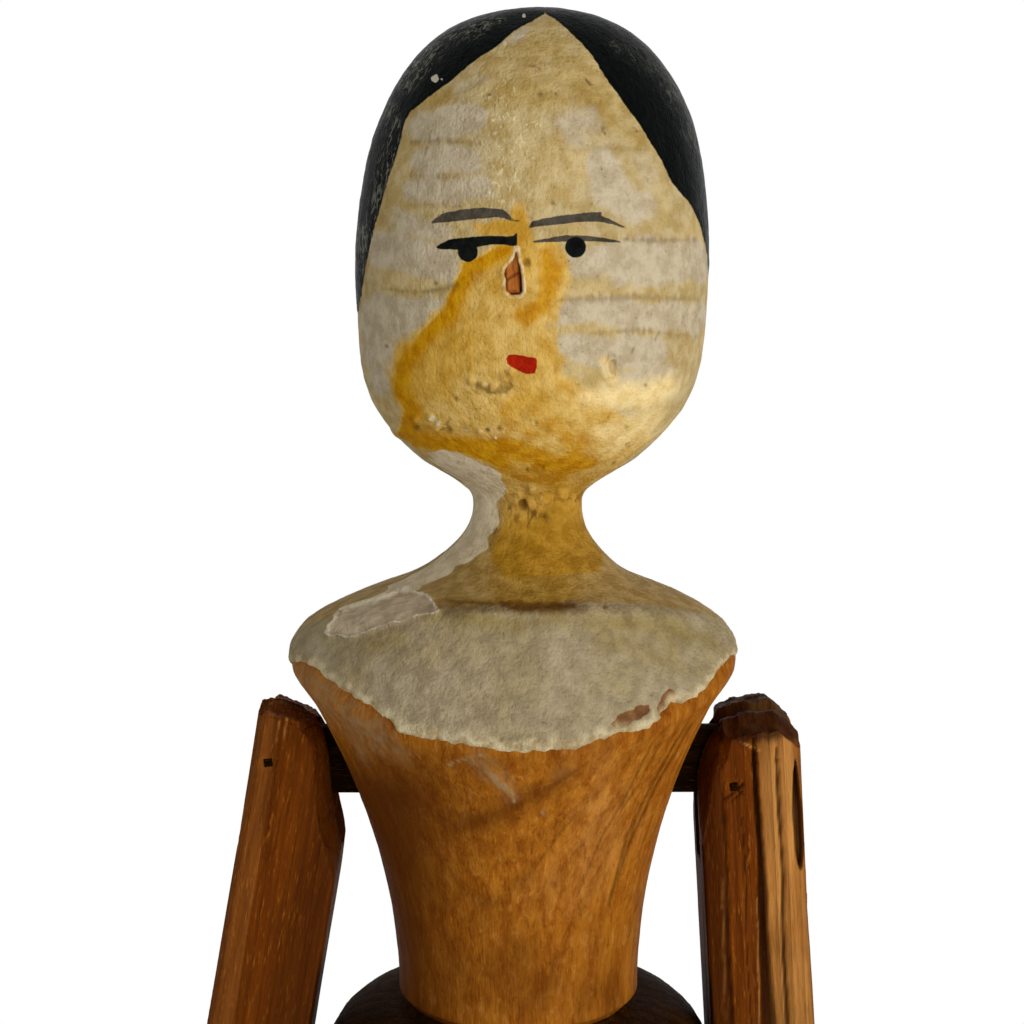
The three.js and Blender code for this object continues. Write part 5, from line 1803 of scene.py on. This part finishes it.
def camera():
    """The photograph's camera: its place, tilt and focal length."""
    made = added("camera", bpy.data.cameras.new("camera"))
    made.location = Vector((AXIS_X, -CAMERA_DISTANCE, CAMERA_HEIGHT)) * MM
    made.rotation_euler = (math.radians(90 - CAMERA_TILT), 0, 0)
    made.data.sensor_width = SENSOR
    made.data.lens = SENSOR * FOCAL / IMAGE
    made.data.clip_start = MM
    bpy.context.scene.camera = made


def lamp(name, place, size, power, colour):
    """A soft square light that looks at the doll's chest, place and size in metres."""
    made = added(name, bpy.data.lights.new(name, "AREA"))
    made.location = place
    aim = Vector((AXIS_X * MM, 0, AIM_HEIGHT)) - made.location
    made.rotation_euler = aim.to_track_quat("-Z", "Y").to_euler()
    made.data.size = size
    made.data.energy = power
    made.data.color = colour


def floor():
    """A pale floor that fades out at its rim."""
    turn = np.linspace(0, 2 * math.pi, FLOOR_SIDES, endpoint=False)
    points = np.column_stack((FLOOR_RADIUS * np.cos(turn), FLOOR_RADIUS * np.sin(turn), 0 * turn))
    made = solid("floor", points, [tuple(range(FLOOR_SIDES))])
    g = Graph("pale_floor")
    place = g.add("ShaderNodeTexCoord").outputs["Object"]
    reach = g.add("ShaderNodeVectorMath", {0: place}, operation="LENGTH").outputs["Value"]
    alpha = g.step(reach, FLOOR_RADIUS * MM, FLOOR_SOLID * FLOOR_RADIUS * MM)
    g.colour = FLOOR_COLOUR
    dress(made, g.finish(roughness=FLOOR_ROUGHNESS, alpha=alpha))


def world():
    """White where the camera or a reflection looks, softer as light."""
    made = bpy.data.worlds.new("studio")
    made.use_nodes = True
    nodes, links = made.node_tree.nodes, made.node_tree.links
    path = nodes.new("ShaderNodeLightPath")
    seen = path.outputs["Is Camera Ray"]
    for name in ("Is Glossy Ray", "Is Transmission Ray"):
        either = nodes.new("ShaderNodeMath")
        either.operation = "MAXIMUM"
        links.new(seen, either.inputs[0])
        links.new(path.outputs[name], either.inputs[1])
        seen = either.outputs[0]
    strength = nodes.new("ShaderNodeMapRange")
    strength.inputs["To Min"].default_value = WORLD_LIGHT
    strength.inputs["To Max"].default_value = 1
    links.new(seen, strength.inputs["Value"])
    background = nodes["Background"]
    background.inputs["Color"].default_value = (1, 1, 1, 1)
    links.new(strength.outputs[0], background.inputs["Strength"])
    bpy.context.scene.world = made


def studio():
    """The camera, the pale floor, the white surroundings and three soft lamps."""
    bpy.context.scene.view_settings.view_transform = "Standard"
    camera()
    world()
    floor()
    for name, (place, size, power, colour) in LAMPS.items():
        lamp(name, place, size, power, colour)


def doll():
    """Every visible piece of the doll in its own finish."""
    dark_pine = wood_material("dark_pine", late=0.45, shine=0.005, worn=0.15)
    limb_pine = wood_material("whittled_pine", late=0.25)
    dress(painted_head(), painted_material())
    dress(torso_wood(), wood_material("turned_pine", late=0.2, grain=0.14, mottle=0.4))
    dress(hip_block(), wood_material("dark_turned_pine", late=0.45, shine=0.005, worn=0.2))
    for number, side in enumerate(("right", "left")):
        for kind in LIMBS:
            dress(limb(side, kind), limb_pine)
        dress(peg(side + "_arm_pin", PEG_SEED + number, size=SQUARE_PEG, square=True), dark_pine)
        for name in ("_elbow_pin", "_knee_pin"):
            dress(peg(side + name, PEG_SEED + number), dark_pine)
    dress(peg("hip_pin", HIP_PEG_SEED), dark_pine)
    # The rod's near black is painted shade where it sits between chest and arms
    dress(shoulder_rod(), dark_pine)
    dress(splintered_wedge(), wood_material("split_pine", late=0.1))


studio()
doll()
